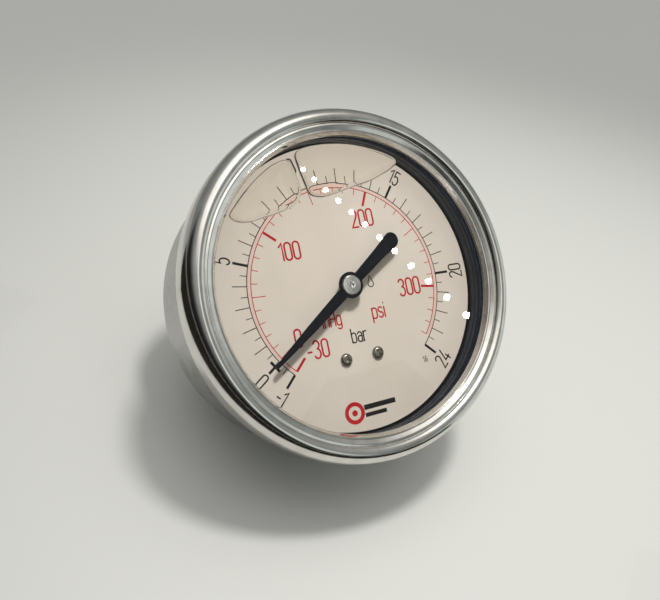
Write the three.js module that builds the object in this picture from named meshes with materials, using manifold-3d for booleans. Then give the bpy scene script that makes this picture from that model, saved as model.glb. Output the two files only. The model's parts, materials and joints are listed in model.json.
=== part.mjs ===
// Bourdon-tube pressure gauge, 63 mm nominal size, liquid-filled case, centre-back connection G 1/4 B.
// Millimetres. The gauge's own axis is Y: the dial faces -Y and the stem points to +Y.
// +Z is the 12 o'clock direction, and the origin is the centre of the stem's sealing end face.

import * as THREE from 'three';
import { mergeVertices } from 'three/addons/utils/BufferGeometryUtils.js';
import Module from 'manifold-3d';

const wasm = await Module();
wasm.setup();

// ---------------------------------------------------------------- driving dimensions

const ROUND = 48;            // facets on the case-sized rings
const MIDDLE = 28;           // facets on the stem and its seal
const FINE = 16;             // facets on shafts, screws and holes
const GAP = 0.2;             // seat between two fixed pieces
const RUNNING = 0.06;        // radial clearance of a shaft in its bearing hole

// Stem: G 1/4 B thread, undercut and a 14 mm square for the spanner.
const PILOT = { radius: 2.5, tip: 2.0 };
const THREAD = { major: 6.58, minor: 5.72, pitch: 1.337, start: -1.0, turns: 7 };
const UNDERCUT = { radius: 5.4, end: -13.0 };
const SQUARE = { width: 14.0, corner: 9.2, end: -23.0 };
const NECK_RADIUS = 7.0;
const PORT = { radius: 1.6, end: -20.0 };
const DUCT = { radius: 0.9, depth: -26.8 };
const RESTRICTOR = { radius: 1.4, bore: 0.3, front: -4.0, back: 0.4, slotWidth: 0.5 };

// Case: a deep-drawn cup with an out-turned rim.
const CASE = { radius: 31.3, wall: 0.8, corner: 2.0, back: -24.0, rim: -48.8, rimRadius: 32.4 };
const CASE_INSIDE = CASE.radius - CASE.wall;
const CASE_FLOOR = CASE.back - CASE.wall;

// Crimped ring and window.
const RING = { radius: 34.25, widest: -53.0, front: -56.0, lip: 28.5, skin: 1.4 };
const WINDOW = { radius: 32.4, front: -53.4, back: -50.6 };
const GASKET = { inner: 28.9, wall: 1.3, foot: -45.5 };

// Socket inside the case.
const FLANGE = { radius: 14.0, back: CASE_FLOOR - GAP, front: -28.5 };
const SEAT = { radius: 8.0, front: -32.2 };
const SEAL_RING = { radius: 9.0, section: 0.8, groove: 1.0 };
const CASE_SCREW = { offset: 11.8, head: 2.1, headHeight: 1.4, shank: 1.2, length: 4.0, slot: 0.6, hole: 1.6 };
const TAPPED = { caseScrew: 1.4, plateScrew: 1.0, plateScrewDepth: 2.4 };

// Bourdon tube: flat oval section bent to a C round the gauge's axis.
// Dial angles are in degrees, clockwise from 12 o'clock seen from the front.
const TUBE = { radius: 20.0, width: 8.0, thickness: 2.6, wall: 0.35, depth: -36.0, root: 227, tip: 508 };
const POST = { angle: 225, inner: 16.8, outer: 23.2, halfWidth: 4.2, front: -41.0 };
const POCKET = { length: 6.0, along: 2.0, across: -0.2, gapWide: 0.5, gapThick: 1.1 };
const END_CAP = { wider: 1.0, from: 0.8, to: 6.5, middle: 4.0, ear: 1.3 };

// Movement: two plates on pillars, a toothed sector and a pinion on the gauge's axis.
const PLATE = { thickness: 1.2, halfWidth: 7.2, top: 6.4, bottom: -18.2, corner: 2.2 };
const BACK_PLATE_BACK = SEAT.front - GAP - 0.1;
const FRONT_PLATE_FRONT = -43.8;
const GEAR = { module: 0.25, pinionTeeth: 10, sectorTeeth: 110, pressureAngle: 20, play: 0.035 };
const PINION_PITCH = GEAR.module * GEAR.pinionTeeth / 2;
const SECTOR_PITCH = GEAR.module * GEAR.sectorTeeth / 2;
const CENTRES = PINION_PITCH + SECTOR_PITCH;
const SECTOR = { front: -37.4, thickness: 1.2, tail: 5.0, restTilt: 11.3, hub: 2.2 };
const SHAFT_RADIUS = 0.6;
const LINK = { length: 9.0, width: 2.2, thickness: 0.8, front: -38.7, pin: 0.5, slack: 0.3 };
const PILLARS = [[-5.6, 4.4], [5.6, 4.4], [-5.6, -16.2]];
const PILLAR = { radius: 1.5, hole: 1.0 };
const PILLAR_SCREW = { head: 1.5, headHeight: 0.6, shank: 0.8, length: 4.0, slot: 0.4 };
const PLATE_SCREWS = [[-5.2, -4.6], [5.2, -4.6]];
const PLATE_SCREW = { head: 1.6, headHeight: 0.9, shank: 0.8, length: 3.4, slot: 0.4, hole: 1.0 };
const HAIRSPRING = { inner: 1.6, outer: 4.4, turns: 4.5, thickness: 0.12, width: 0.9, depth: -40.4 };

// Dial and pointer. The pointer rests on the dial's zero, and the scale spans 270 degrees.
const DIAL = { radius: 28.5, front: -45.2, thickness: 0.6, bore: 1.7 };
const DIAL_SCREWS = [[-3.55, -14.05], [3.55, -14.05]];
const ZERO_ANGLE = -124.2;
const DIAL_SCREW = { head: 1.25, headHeight: 0.8, shank: 0.7, slot: 0.35, hole: 0.9, tapped: 0.85 };
const POINTER = {
  reach: 22.5, tip: 0.76, root: 2.3, hub: 2.62, bore: 1.3, tailRoot: 1.9, tailEnd: 3.24, tail: 14.92,
};
const BLADE = { front: -47.9, thickness: 0.4 };
const HUB_CAP = { radius: 2.0, front: -48.4 };

// Rubber filling plug in the case's side, at 12 o'clock.
const PLUG = { depth: -36.5, hole: 3.9, neck: 3.6, head: 5.2, headHeight: 1.5 };

// ---------------------------------------------------------------- materials

const material = (color, roughness, metalness) =>
  new THREE.MeshStandardMaterial({ color, roughness, metalness });

const POLISHED_STEEL = material(0xc9cbce, 0.12, 1.0);
const SATIN_STEEL = material(0xb4b6b8, 0.35, 1.0);
const BRASS = material(0xc3a05a, 0.32, 1.0);
const BRONZE = material(0xa9793f, 0.35, 1.0);
const PALE_METAL = material(0xc4c6c4, 0.3, 1.0);
const BLACK_RUBBER = material(0x17181a, 0.75, 0.0);
const BLACK_ENAMEL = material(0x141519, 0.45, 0.0);
const CREAM_ENAMEL = material(0xd6cdbf, 0.6, 0.0);
const CLEAR_WINDOW = new THREE.MeshStandardMaterial({
  color: 0xf2f5f4, roughness: 0.05, metalness: 0.0, transparent: true, opacity: 0.3,
});

// ---------------------------------------------------------------- geometry helpers

const radians = (degrees) => degrees * Math.PI / 180;

// Point on the dial at a radius and a dial angle.
const onDial = (radius, angle) => [radius * Math.sin(radians(angle)), radius * Math.cos(radians(angle))];

// Turned piece: the profile is a list of [radius, y] points round the Y axis, run anticlockwise so it faces out.
function turned(profile, facets = FINE) {
  const points = profile.map(([r, y]) => new THREE.Vector2(r, y));
  if (THREE.ShapeUtils.area(points) < 0) {
    points.reverse();
  }
  return new THREE.LatheGeometry(points, facets);
}

// Closed ring: the profile comes back to its first point, so it need not touch the axis.
function turnedRing(profile, facets = FINE) {
  return turned([...profile, profile[0]], facets);
}

// Round bar along Y between two planes.
function rod(radius, from, to, facets = FINE) {
  const bar = new THREE.CylinderGeometry(radius, radius, Math.abs(to - from), facets);
  return bar.translate(0, (from + to) / 2, 0);
}

// Flat piece cut from sheet: the shape is drawn in X and Z, and the sheet lies between two Y planes.
function sheet(shape, front, thickness, curveSegments = 8) {
  const flat = new THREE.ExtrudeGeometry(shape, { depth: thickness, bevelEnabled: false, curveSegments });
  // The drawing's (x, y) becomes (X, Z), and its thickness goes from the front plane towards +Y.
  const turn = new THREE.Matrix4().set(1, 0, 0, 0, 0, 0, 1, front, 0, 1, 0, 0, 0, 0, 0, 1);
  flat.applyMatrix4(turn);
  return flipped(flat);
}

// The X-Z drawing plane is mirrored by the swap of axes, so the faces are turned the right way out again.
function flipped(geometry) {
  const bare = solidReady(geometry);
  const corners = bare.index.array;
  for (let i = 0; i < corners.length; i += 3) {
    [corners[i], corners[i + 1]] = [corners[i + 1], corners[i]];
  }
  return bare;
}

function solidReady(geometry) {
  const bare = geometry.clone();
  bare.deleteAttribute('normal');
  bare.deleteAttribute('uv');
  return mergeVertices(bare, 1e-5);
}

function solid(geometry) {
  const bare = solidReady(geometry);
  return new wasm.Manifold(new wasm.Mesh({
    numProp: 3,
    vertProperties: Float32Array.from(bare.attributes.position.array),
    triVerts: Uint32Array.from(bare.index.array),
  }));
}

function fromSolid(shape) {
  const mesh = shape.getMesh();
  const geometry = new THREE.BufferGeometry();
  geometry.setAttribute('position', new THREE.BufferAttribute(Float32Array.from(mesh.vertProperties), 3));
  geometry.setIndex(new THREE.BufferAttribute(Uint32Array.from(mesh.triVerts), 1));
  return geometry;
}

function joined(base, ...others) {
  return fromSolid(others.reduce((sum, next) => sum.add(solid(next)), solid(base)));
}

function cut(base, ...holes) {
  return fromSolid(holes.reduce((rest, hole) => rest.subtract(solid(hole)), solid(base)));
}

// Shape with straight sides and round corners, centred on X = 0 and reaching between two heights.
function roundedPlate(halfWidth, bottom, top, corner) {
  const outline = new THREE.Shape();
  outline.moveTo(-halfWidth + corner, bottom);
  outline.lineTo(halfWidth - corner, bottom);
  outline.absarc(halfWidth - corner, bottom + corner, corner, -Math.PI / 2, 0, false);
  outline.absarc(halfWidth - corner, top - corner, corner, 0, Math.PI / 2, false);
  outline.absarc(-halfWidth + corner, top - corner, corner, Math.PI / 2, Math.PI, false);
  outline.absarc(-halfWidth + corner, bottom + corner, corner, Math.PI, Math.PI * 1.5, false);
  return outline;
}

function addHole(shape, x, z, radius) {
  const hole = new THREE.Path();
  hole.absarc(x, z, radius, 0, Math.PI * 2, true);
  shape.holes.push(hole);
}

const group = new THREE.Group();

function place(name, geometry, look, x = 0, z = 0) {
  const mesh = new THREE.Mesh(geometry, look);
  mesh.name = name;
  mesh.position.set(x, 0, z);
  group.add(mesh);
  return mesh;
}

// Screw with its head towards -Y: a slotted cheese head and a plain shank.
function slottedScrew(headRadius, headHeight, shankRadius, headBack, shankEnd, slotWidth) {
  const headFront = headBack - headHeight;
  const edge = headHeight * 0.3;
  const body = turned([
    [0, headFront], [headRadius - edge, headFront], [headRadius, headFront + edge], [headRadius, headBack],
    [shankRadius, headBack], [shankRadius, shankEnd], [0, shankEnd],
  ]);
  const slot = new THREE.BoxGeometry(headRadius * 3, headHeight, slotWidth);
  slot.translate(0, headFront, 0);
  return cut(body, slot);
}

// Slotted screw from its sizes, with the back of its head on a plane.
function seatedScrew({ head, headHeight, shank, length, slot }, headBack) {
  return slottedScrew(head, headHeight, shank, headBack, headBack + length, slot);
}

// ---------------------------------------------------------------- case, ring, window and seals

function caseShell() {
  const { corner } = CASE;
  const hole = NECK_RADIUS + GAP;
  const cup = turnedRing([
    [hole, CASE.back], [CASE.radius - corner, CASE.back], [CASE.radius - corner * 0.3, CASE.back - corner * 0.3],
    [CASE.radius, CASE.back - corner], [CASE.radius, CASE.rim + CASE.wall], [CASE.rimRadius, CASE.rim + CASE.wall],
    [CASE.rimRadius, CASE.rim], [CASE_INSIDE, CASE.rim], [CASE_INSIDE, CASE_FLOOR - corner],
    [CASE_INSIDE - corner, CASE_FLOOR], [hole, CASE_FLOOR],
  ], ROUND);
  const fillingHole = rod(PLUG.hole, 0, CASE.radius * 2);
  fillingHole.rotateX(Math.PI / 2).translate(0, PLUG.depth, 0);
  const screwHole = (x) => rod(CASE_SCREW.hole, CASE.back + 1, CASE_FLOOR - 1).translate(x, 0, 0);
  return cut(cup, fillingHole, screwHole(-CASE_SCREW.offset), screwHole(CASE_SCREW.offset));
}

// Rolled ring: bead, soft valley, second ridge and a slope down to the lip.
// Its back edge is crimped behind the case's rim.
function bezelRing() {
  const crimp = CASE.rim + CASE.wall + GAP;
  const inside = RING.radius - RING.skin;
  return turnedRing([
    [CASE.radius + 0.4, crimp + 0.9], [33.3, crimp + 0.9], [34.0, crimp - 0.1], [RING.radius, -50.5],
    [RING.radius, RING.widest], [33.93, -54.5], [33.1, -55.6], [31.9, RING.front], [31.2, -55.7], [30.9, -55.2],
    [30.3, -55.25], [29.55, -54.8], [RING.lip, -54.1], [RING.lip + 0.3, WINDOW.front - GAP],
    [inside, WINDOW.front - GAP], [inside, crimp], [CASE.radius + 0.4, crimp],
  ], ROUND);
}

function windowGlass() {
  return turned([
    [0, WINDOW.front], [WINDOW.radius - 0.3, WINDOW.front], [WINDOW.radius, WINDOW.front + 0.3],
    [WINDOW.radius, WINDOW.back], [0, WINDOW.back],
  ], ROUND);
}

// L-section rubber ring: its flange seals the window on the rim, and its wall lines the case down to the dial.
function windowGasket() {
  const flangeFront = WINDOW.back + GAP;
  const flangeBack = CASE.rim - GAP;
  return turnedRing([
    [GASKET.inner, flangeFront], [CASE.rimRadius - 0.2, flangeFront], [CASE.rimRadius - 0.2, flangeBack],
    [GASKET.inner + GASKET.wall, flangeBack], [GASKET.inner + GASKET.wall, GASKET.foot],
    [GASKET.inner, GASKET.foot],
  ], ROUND);
}

function fillPlug() {
  const seat = CASE.radius + GAP;
  const plug = turned([
    [0, CASE_INSIDE - 1.2], [PLUG.neck - 0.5, CASE_INSIDE - 1.2], [PLUG.neck, CASE_INSIDE], [PLUG.neck, seat],
    [PLUG.head, seat], [PLUG.head, seat + PLUG.headHeight * 0.6], [PLUG.head - 0.9, seat + PLUG.headHeight],
    [0, seat + PLUG.headHeight],
  ], 24);
  return plug.rotateX(Math.PI / 2).translate(0, PLUG.depth, 0);
}

// ---------------------------------------------------------------- stem and socket, one brass forging

// Local frame of the tube's post: X runs along the tube, Z runs outwards from the gauge's axis.
function atPost(geometry) {
  return geometry.rotateY(radians(POST.angle));
}

function socketStem() {
  const profile = [[0, PILOT.tip], [PILOT.radius - 0.3, PILOT.tip], [PILOT.radius, PILOT.tip - 0.3]];
  profile.push([PILOT.radius, 0], [THREAD.minor - 0.9, 0], [THREAD.minor - 0.9, THREAD.start + 0.9]);
  for (let turn = 0; turn < THREAD.turns; turn += 1) {
    const root = THREAD.start - turn * THREAD.pitch;
    profile.push([THREAD.minor, root], [THREAD.major, root - THREAD.pitch / 2]);
  }
  const threadEnd = THREAD.start - THREAD.turns * THREAD.pitch;
  profile.push([THREAD.minor, threadEnd], [UNDERCUT.radius, threadEnd - 0.4], [UNDERCUT.radius, UNDERCUT.end]);
  profile.push([SQUARE.corner, UNDERCUT.end], [SQUARE.corner, SQUARE.end], [NECK_RADIUS, SQUARE.end]);
  profile.push([NECK_RADIUS, FLANGE.back], [FLANGE.radius, FLANGE.back], [FLANGE.radius, FLANGE.front]);
  profile.push([SEAT.radius, FLANGE.front], [SEAT.radius, SEAT.front], [0, SEAT.front]);
  const forging = turned(profile, MIDDLE);

  const flats = [];
  for (const [x, z] of [[1, 0], [-1, 0], [0, 1], [0, -1]]) {
    const depth = 4;
    const side = new THREE.BoxGeometry(x ? depth : 30, UNDERCUT.end - SQUARE.end, z ? depth : 30);
    const offset = SQUARE.width / 2 + depth / 2;
    flats.push(side.translate(x * offset, (UNDERCUT.end + SQUARE.end) / 2, z * offset));
  }

  const armLength = POST.outer;
  const arm = new THREE.BoxGeometry(POST.halfWidth * 2, FLANGE.back - FLANGE.front, armLength);
  arm.translate(0, (FLANGE.back + FLANGE.front) / 2, armLength / 2);
  const postLength = FLANGE.back - POST.front;
  const post = new THREE.BoxGeometry(POST.halfWidth * 2, postLength, POST.outer - POST.inner);
  post.translate(0, FLANGE.back - postLength / 2, (POST.outer + POST.inner) / 2);
  const body = joined(cut(forging, ...flats), atPost(arm), atPost(post));

  const pocketThickness = TUBE.thickness + POCKET.gapThick;
  const pocket = new THREE.BoxGeometry(POCKET.length, TUBE.width + POCKET.gapWide, pocketThickness);
  pocket.translate(POCKET.along, TUBE.depth, TUBE.radius + POCKET.across);
  const axialDuct = rod(PORT.radius, PILOT.tip + 1, PORT.end);
  const deepDuct = rod(DUCT.radius, PORT.end + 1, DUCT.depth - 0.4);
  const radialDuct = rod(DUCT.radius, 0, TUBE.radius).rotateX(Math.PI / 2).translate(0, DUCT.depth, 0);
  const tubeDuct = rod(DUCT.radius, DUCT.depth + 0.4, TUBE.depth).translate(0, 0, TUBE.radius - 0.4);
  const grooveInner = SEAL_RING.radius - SEAL_RING.groove;
  const grooveOuter = SEAL_RING.radius + SEAL_RING.groove;
  const groove = turnedRing([
    [grooveInner, FLANGE.back + 1], [grooveOuter, FLANGE.back + 1],
    [grooveOuter, FLANGE.back - 1.8], [grooveInner, FLANGE.back - 1.8],
  ], MIDDLE);
  const screwHoles = [-CASE_SCREW.offset, CASE_SCREW.offset].map((x) => (
    rod(TAPPED.caseScrew, FLANGE.back + 1, FLANGE.front - 1).translate(x, 0, 0)));
  const plateHoles = PLATE_SCREWS.map(([x, z]) => (
    rod(TAPPED.plateScrew, SEAT.front - 1, SEAT.front + TAPPED.plateScrewDepth).translate(x, 0, z)));
  return cut(
    body, atPost(pocket), axialDuct, deepDuct, atPost(radialDuct), atPost(tubeDuct), groove,
    ...screwHoles, ...plateHoles,
  );
}

function sealRing() {
  const ring = new THREE.TorusGeometry(SEAL_RING.radius, SEAL_RING.section, 8, MIDDLE);
  return ring.rotateX(Math.PI / 2).translate(0, FLANGE.back - SEAL_RING.section - 0.1, 0);
}

// Throttle in the pressure port: a screw with a fine hole through it and a driver slot.
function restrictorScrew() {
  const { radius, bore, front, back, slotWidth } = RESTRICTOR;
  const plug = turnedRing([[bore, back], [radius, back], [radius, front], [bore, front]], FINE);
  const slot = new THREE.BoxGeometry(radius * 3, 1.2, slotWidth);
  return cut(plug, slot.translate(0, back, 0));
}

// Socket screw through the case's back; its head is towards +Y.
function caseScrew() {
  const { head, headHeight, shank, length, slot } = CASE_SCREW;
  return slottedScrew(head, headHeight, shank, -GAP, length, slot).rotateX(Math.PI).translate(0, CASE.back, 0);
}

// ---------------------------------------------------------------- Bourdon tube and its end cap

// Arc round the gauge's axis between two dial angles.
class DialArc extends THREE.Curve {
  constructor(radius, depth, from, to) {
    super();
    Object.assign(this, { radius, depth, from, to });
  }

  getPoint(t, target = new THREE.Vector3()) {
    const [x, z] = onDial(this.radius, this.from + (this.to - this.from) * t);
    return target.set(x, this.depth, z);
  }
}

// Oval outline with flat sides: wide along the gauge's axis and thin across it.
function ovalOutline(width, thickness) {
  const cap = thickness / 2;
  const reach = width / 2 - cap;
  const oval = new THREE.Shape();
  oval.absarc(reach, 0, cap, -Math.PI / 2, Math.PI / 2, false);
  oval.absarc(-reach, 0, cap, Math.PI / 2, Math.PI * 1.5, false);
  return oval;
}

function bourdonTube() {
  const section = ovalOutline(TUBE.width, TUBE.thickness);
  section.holes.push(ovalOutline(TUBE.width - TUBE.wall * 2, TUBE.thickness - TUBE.wall * 2));
  return new THREE.ExtrudeGeometry(section, {
    steps: 30,
    curveSegments: 3,
    bevelEnabled: false,
    extrudePath: new DialArc(TUBE.radius, TUBE.depth, TUBE.root, TUBE.tip),
  });
}

// Where the link's outer pin stands on the end cap, with the pointer at zero.
const linkInner = [-SECTOR.tail * Math.sin(radians(SECTOR.restTilt)),
  -CENTRES - SECTOR.tail * Math.cos(radians(SECTOR.restTilt))];
const linkOuter = [linkInner[0] + LINK.length, linkInner[1]];

function tubeEndCap() {
  const outline = ovalOutline(TUBE.width + END_CAP.wider, TUBE.thickness + END_CAP.wider);
  const block = new THREE.ExtrudeGeometry(outline, {
    steps: 3,
    curveSegments: 4,
    bevelEnabled: false,
    extrudePath: new DialArc(TUBE.radius, TUBE.depth, TUBE.tip + END_CAP.from, TUBE.tip + END_CAP.to),
  });
  const [blockX, blockZ] = onDial(TUBE.radius, TUBE.tip + END_CAP.middle);
  const lug = new THREE.Shape();
  const reach = Math.hypot(linkOuter[0] - blockX, linkOuter[1] - blockZ);
  const slope = Math.atan2(linkOuter[1] - blockZ, linkOuter[0] - blockX);
  lug.moveTo(0, END_CAP.ear);
  lug.absarc(0, 0, END_CAP.ear, Math.PI / 2, Math.PI * 1.5, false);
  lug.absarc(reach, 0, END_CAP.ear, -Math.PI / 2, Math.PI / 2, false);
  const ear = sheet(lug, SECTOR.front, SECTOR.thickness);
  ear.rotateY(-slope).translate(blockX, 0, blockZ);
  const pinHole = rod(LINK.pin + 0.1, SECTOR.front - 1, SECTOR.front + 3).translate(linkOuter[0], 0, linkOuter[1]);
  return cut(joined(block, ear), pinHole);
}

// ---------------------------------------------------------------- movement

function movementPlate(front, extraHoles) {
  const outline = roundedPlate(PLATE.halfWidth, PLATE.bottom, PLATE.top, PLATE.corner);
  addHole(outline, 0, 0, SHAFT_RADIUS + RUNNING);
  addHole(outline, 0, -CENTRES, SHAFT_RADIUS + RUNNING);
  for (const [x, z, radius] of extraHoles) {
    addHole(outline, x, z, radius);
  }
  return sheet(outline, front, PLATE.thickness, 6);
}

function pillar() {
  const back = BACK_PLATE_BACK - PLATE.thickness - GAP;
  const front = FRONT_PLATE_FRONT + PLATE.thickness + GAP;
  return cut(rod(PILLAR.radius, front, back), rod(PILLAR.hole, front - 1, front + PILLAR_SCREW.length));
}

// Involute flank points of one tooth side, from the root to the tip, as [radius, half angle].
function flank(teeth) {
  const pitch = GEAR.module * teeth / 2;
  const base = pitch * Math.cos(radians(GEAR.pressureAngle));
  const tip = pitch + GEAR.module * 0.8;
  const root = pitch - GEAR.module * 1.15;
  const involute = (r) => Math.sqrt((r / base) ** 2 - 1) - Math.acos(base / r);
  const atPitch = Math.PI / (2 * teeth) - GEAR.play / pitch;
  const halfAngle = (r) => atPitch + involute(pitch) - involute(Math.max(r, base));
  const radii = [root, Math.max(base, root + 0.02), pitch, tip];
  return radii.map((r) => [r, halfAngle(r)]);
}

// Toothed outline: the tooth at the first angle stands there, and the others follow at the pitch.
function teethPoints(teeth, firstAngle, count) {
  const side = flank(teeth);
  const points = [];
  for (let tooth = 0; tooth < count; tooth += 1) {
    const centre = firstAngle + tooth * Math.PI * 2 / teeth;
    for (const [r, half] of side) {
      points.push([r, centre - half]);
    }
    for (const [r, half] of [...side].reverse()) {
      points.push([r, centre + half]);
    }
  }
  return points.map(([r, angle]) => new THREE.Vector2(r * Math.cos(angle), r * Math.sin(angle)));
}

// A tooth of the pinion stands on the line of centres, and a gap of the sector faces it.
function pinionArbor() {
  const leaves = new THREE.Shape(teethPoints(GEAR.pinionTeeth, -Math.PI / 2, GEAR.pinionTeeth));
  const pinion = sheet(leaves, SECTOR.front - 0.7, SECTOR.thickness + 1.4);
  const shaft = turned([
    [0, BACK_PLATE_BACK - 0.1], [SHAFT_RADIUS, BACK_PLATE_BACK - 0.1], [SHAFT_RADIUS, -45.0],
    [SHAFT_RADIUS - 0.12, HUB_CAP.front + 0.9], [0, HUB_CAP.front + 0.9],
  ]);
  return joined(shaft, pinion);
}

function sectorArbor() {
  return rod(SHAFT_RADIUS, BACK_PLATE_BACK - 0.1, FRONT_PLATE_FRONT + 0.1);
}

// Toothed sector: a fan of teeth, two spokes round a window, a hub and a tail for the link.
function sectorGear() {
  const toothPitch = Math.PI * 2 / GEAR.sectorTeeth;
  const count = 12;
  const up = Math.PI / 2;
  // Seen from the front the fan lies on the right of the line of centres while the pointer is at zero.
  const first = up + toothPitch * (0.5 - (count - 2));
  const rim = new THREE.Shape();
  const teeth = teethPoints(GEAR.sectorTeeth, first, count);
  const last = first + (count - 1) * toothPitch;
  const rimInner = SECTOR_PITCH - 1.8;
  rim.setFromPoints(teeth);
  rim.absarc(0, 0, rimInner, last + toothPitch * 0.4, first - toothPitch * 0.4, true);
  const rimSheet = sheet(rim, SECTOR.front, SECTOR.thickness, 12);

  const spokeSheet = (angle) => {
    const spoke = new THREE.BoxGeometry(rimInner + 0.5, SECTOR.thickness, 1.3);
    spoke.translate((rimInner + 0.5) / 2, SECTOR.front + SECTOR.thickness / 2, 0);
    return spoke.rotateY(-angle);
  };
  const hub = rod(SECTOR.hub, SECTOR.front, SECTOR.front + SECTOR.thickness);
  const tailAngle = -up - radians(SECTOR.restTilt);
  const tail = new THREE.Shape();
  tail.moveTo(0, 1.1);
  tail.absarc(0, 0, 1.1, Math.PI / 2, Math.PI * 1.5, false);
  tail.absarc(SECTOR.tail, 0, 1.4, -Math.PI / 2, Math.PI / 2, false);
  const tailSheet = sheet(tail, SECTOR.front, SECTOR.thickness);
  tailSheet.rotateY(-tailAngle);
  const whole = joined(rimSheet, spokeSheet(first + toothPitch), spokeSheet(last - toothPitch), hub, tailSheet);
  const bore = rod(SHAFT_RADIUS + 0.04, SECTOR.front - 1, SECTOR.front + 3);
  const linkHole = rod(LINK.pin + 0.1, SECTOR.front - 1, SECTOR.front + 3);
  linkHole.translate(linkInner[0], 0, linkInner[1] + CENTRES);
  return cut(whole, bore, linkHole);
}

function linkBar() {
  const half = LINK.width / 2;
  const bar = new THREE.Shape();
  bar.absarc(0, 0, half, Math.PI / 2, Math.PI * 1.5, false);
  bar.absarc(LINK.length, 0, half, -Math.PI / 2, Math.PI / 2, false);
  addHole(bar, 0, 0, LINK.pin + RUNNING);
  addHole(bar, LINK.length, 0, LINK.pin + LINK.slack);
  return sheet(bar, LINK.front, LINK.thickness);
}

// Headed pin: its head is in front of the link and its shank goes back through the plate behind.
function linkPin() {
  const headBack = LINK.front - 0.15;
  return turned([
    [0, headBack - 0.6], [1.0, headBack - 0.6], [1.0, headBack], [LINK.pin, headBack],
    [LINK.pin, SECTOR.front + SECTOR.thickness + 0.3], [0, SECTOR.front + SECTOR.thickness + 0.3],
  ]);
}

// Flat spiral from the collet to the stud.
class Spiral extends THREE.Curve {
  getPoint(t, target = new THREE.Vector3()) {
    const radius = HAIRSPRING.inner + (HAIRSPRING.outer - HAIRSPRING.inner) * t;
    const [x, z] = onDial(radius, 90 + 360 * HAIRSPRING.turns * t);
    return target.set(x, HAIRSPRING.depth, z);
  }
}

function hairspring() {
  const strip = new THREE.Shape();
  const half = HAIRSPRING.width / 2;
  strip.moveTo(-half, -HAIRSPRING.thickness / 2);
  strip.lineTo(half, -HAIRSPRING.thickness / 2);
  strip.lineTo(half, HAIRSPRING.thickness / 2);
  strip.lineTo(-half, HAIRSPRING.thickness / 2);
  return new THREE.ExtrudeGeometry(strip, { steps: 81, bevelEnabled: false, extrudePath: new Spiral() });
}

function hairspringCollet() {
  const half = 0.8;
  return turnedRing([
    [SHAFT_RADIUS + 0.04, HAIRSPRING.depth - half], [1.25, HAIRSPRING.depth - half],
    [1.25, HAIRSPRING.depth + half], [SHAFT_RADIUS + 0.04, HAIRSPRING.depth + half],
  ]);
}

// Post on the front plate that holds the hairspring's outer end.
function hairspringStud() {
  const front = FRONT_PLATE_FRONT + PLATE.thickness + GAP;
  return rod(0.6, front, HAIRSPRING.depth + 0.8);
}

// ---------------------------------------------------------------- dial and pointer

function dialPlate() {
  const back = DIAL.front + DIAL.thickness;
  const disc = turnedRing([
    [DIAL.bore, DIAL.front], [DIAL.radius, DIAL.front], [DIAL.radius, back], [DIAL.bore, back],
  ], ROUND);
  const holes = DIAL_SCREWS.map(([x, z]) => rod(DIAL_SCREW.hole, DIAL.front - 1, back + 1).translate(x, 0, z));
  return cut(disc, ...holes);
}

function dialScrew() {
  const { head, headHeight, shank, slot } = DIAL_SCREW;
  const shankEnd = FRONT_PLATE_FRONT + PLATE.thickness - 0.1;
  return slottedScrew(head, headHeight, shank, DIAL.front - 0.1, shankEnd, slot);
}

// Blade drawn along +X and turned to the dial's zero: a slim blade with a round tip, a round hub,
// and a tail that widens to a round end.
function pointerBlade() {
  const blade = new THREE.Shape();
  const tip = POINTER.tip / 2;
  const end = POINTER.tailEnd / 2;
  const rootAngle = Math.asin(POINTER.root / 2 / POINTER.hub);
  const tailAngle = Math.PI - Math.asin(POINTER.tailRoot / 2 / POINTER.hub);
  blade.moveTo(POINTER.reach - tip, tip);
  blade.absarc(0, 0, POINTER.hub, rootAngle, tailAngle, false);
  blade.absarc(-POINTER.tail + end, 0, end, Math.PI / 2, Math.PI * 1.5, false);
  blade.absarc(0, 0, POINTER.hub, -tailAngle, -rootAngle, false);
  blade.absarc(POINTER.reach - tip, 0, tip, -Math.PI / 2, Math.PI / 2, false);
  addHole(blade, 0, 0, POINTER.bore);
  const flat = sheet(blade, BLADE.front, BLADE.thickness);
  return flat.rotateY(radians(ZERO_ANGLE - 90));
}

// Bushing that grips the arbor, with the bright disc in front of the blade.
function pointerBushing() {
  const back = BLADE.front + BLADE.thickness;
  return turned([
    [0, HUB_CAP.front + 0.25], [0.35, HUB_CAP.front + 0.25], [0.5, HUB_CAP.front + 0.05],
    [HUB_CAP.radius - 0.25, HUB_CAP.front], [HUB_CAP.radius, HUB_CAP.front + 0.2],
    [HUB_CAP.radius, BLADE.front - 0.1], [1.2, BLADE.front - 0.1], [1.2, back + 0.1], [1.6, back + 0.1],
    [1.4, DIAL.front - 0.5], [SHAFT_RADIUS + 0.04, DIAL.front - 0.5], [SHAFT_RADIUS + 0.04, HUB_CAP.front + 0.8],
    [0, HUB_CAP.front + 0.8],
  ], 20);
}

// ---------------------------------------------------------------- assembly

place('case_shell', caseShell(), SATIN_STEEL);
place('bezel_ring', bezelRing(), POLISHED_STEEL);
place('window_glass', windowGlass(), CLEAR_WINDOW);
place('window_gasket', windowGasket(), BLACK_RUBBER);
place('fill_plug', fillPlug(), BLACK_RUBBER);

place('socket_stem', socketStem(), BRASS);
place('socket_seal_ring', sealRing(), BLACK_RUBBER);
place('restrictor_screw', restrictorScrew(), BRASS);
place('case_screw_left', caseScrew(), PALE_METAL, -CASE_SCREW.offset);
place('case_screw_right', caseScrew(), PALE_METAL, CASE_SCREW.offset);

place('bourdon_tube', bourdonTube(), BRONZE);
place('tube_end_cap', tubeEndCap(), BRASS);
place('link_pin_outer', linkPin(), PALE_METAL, ...linkOuter);

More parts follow.
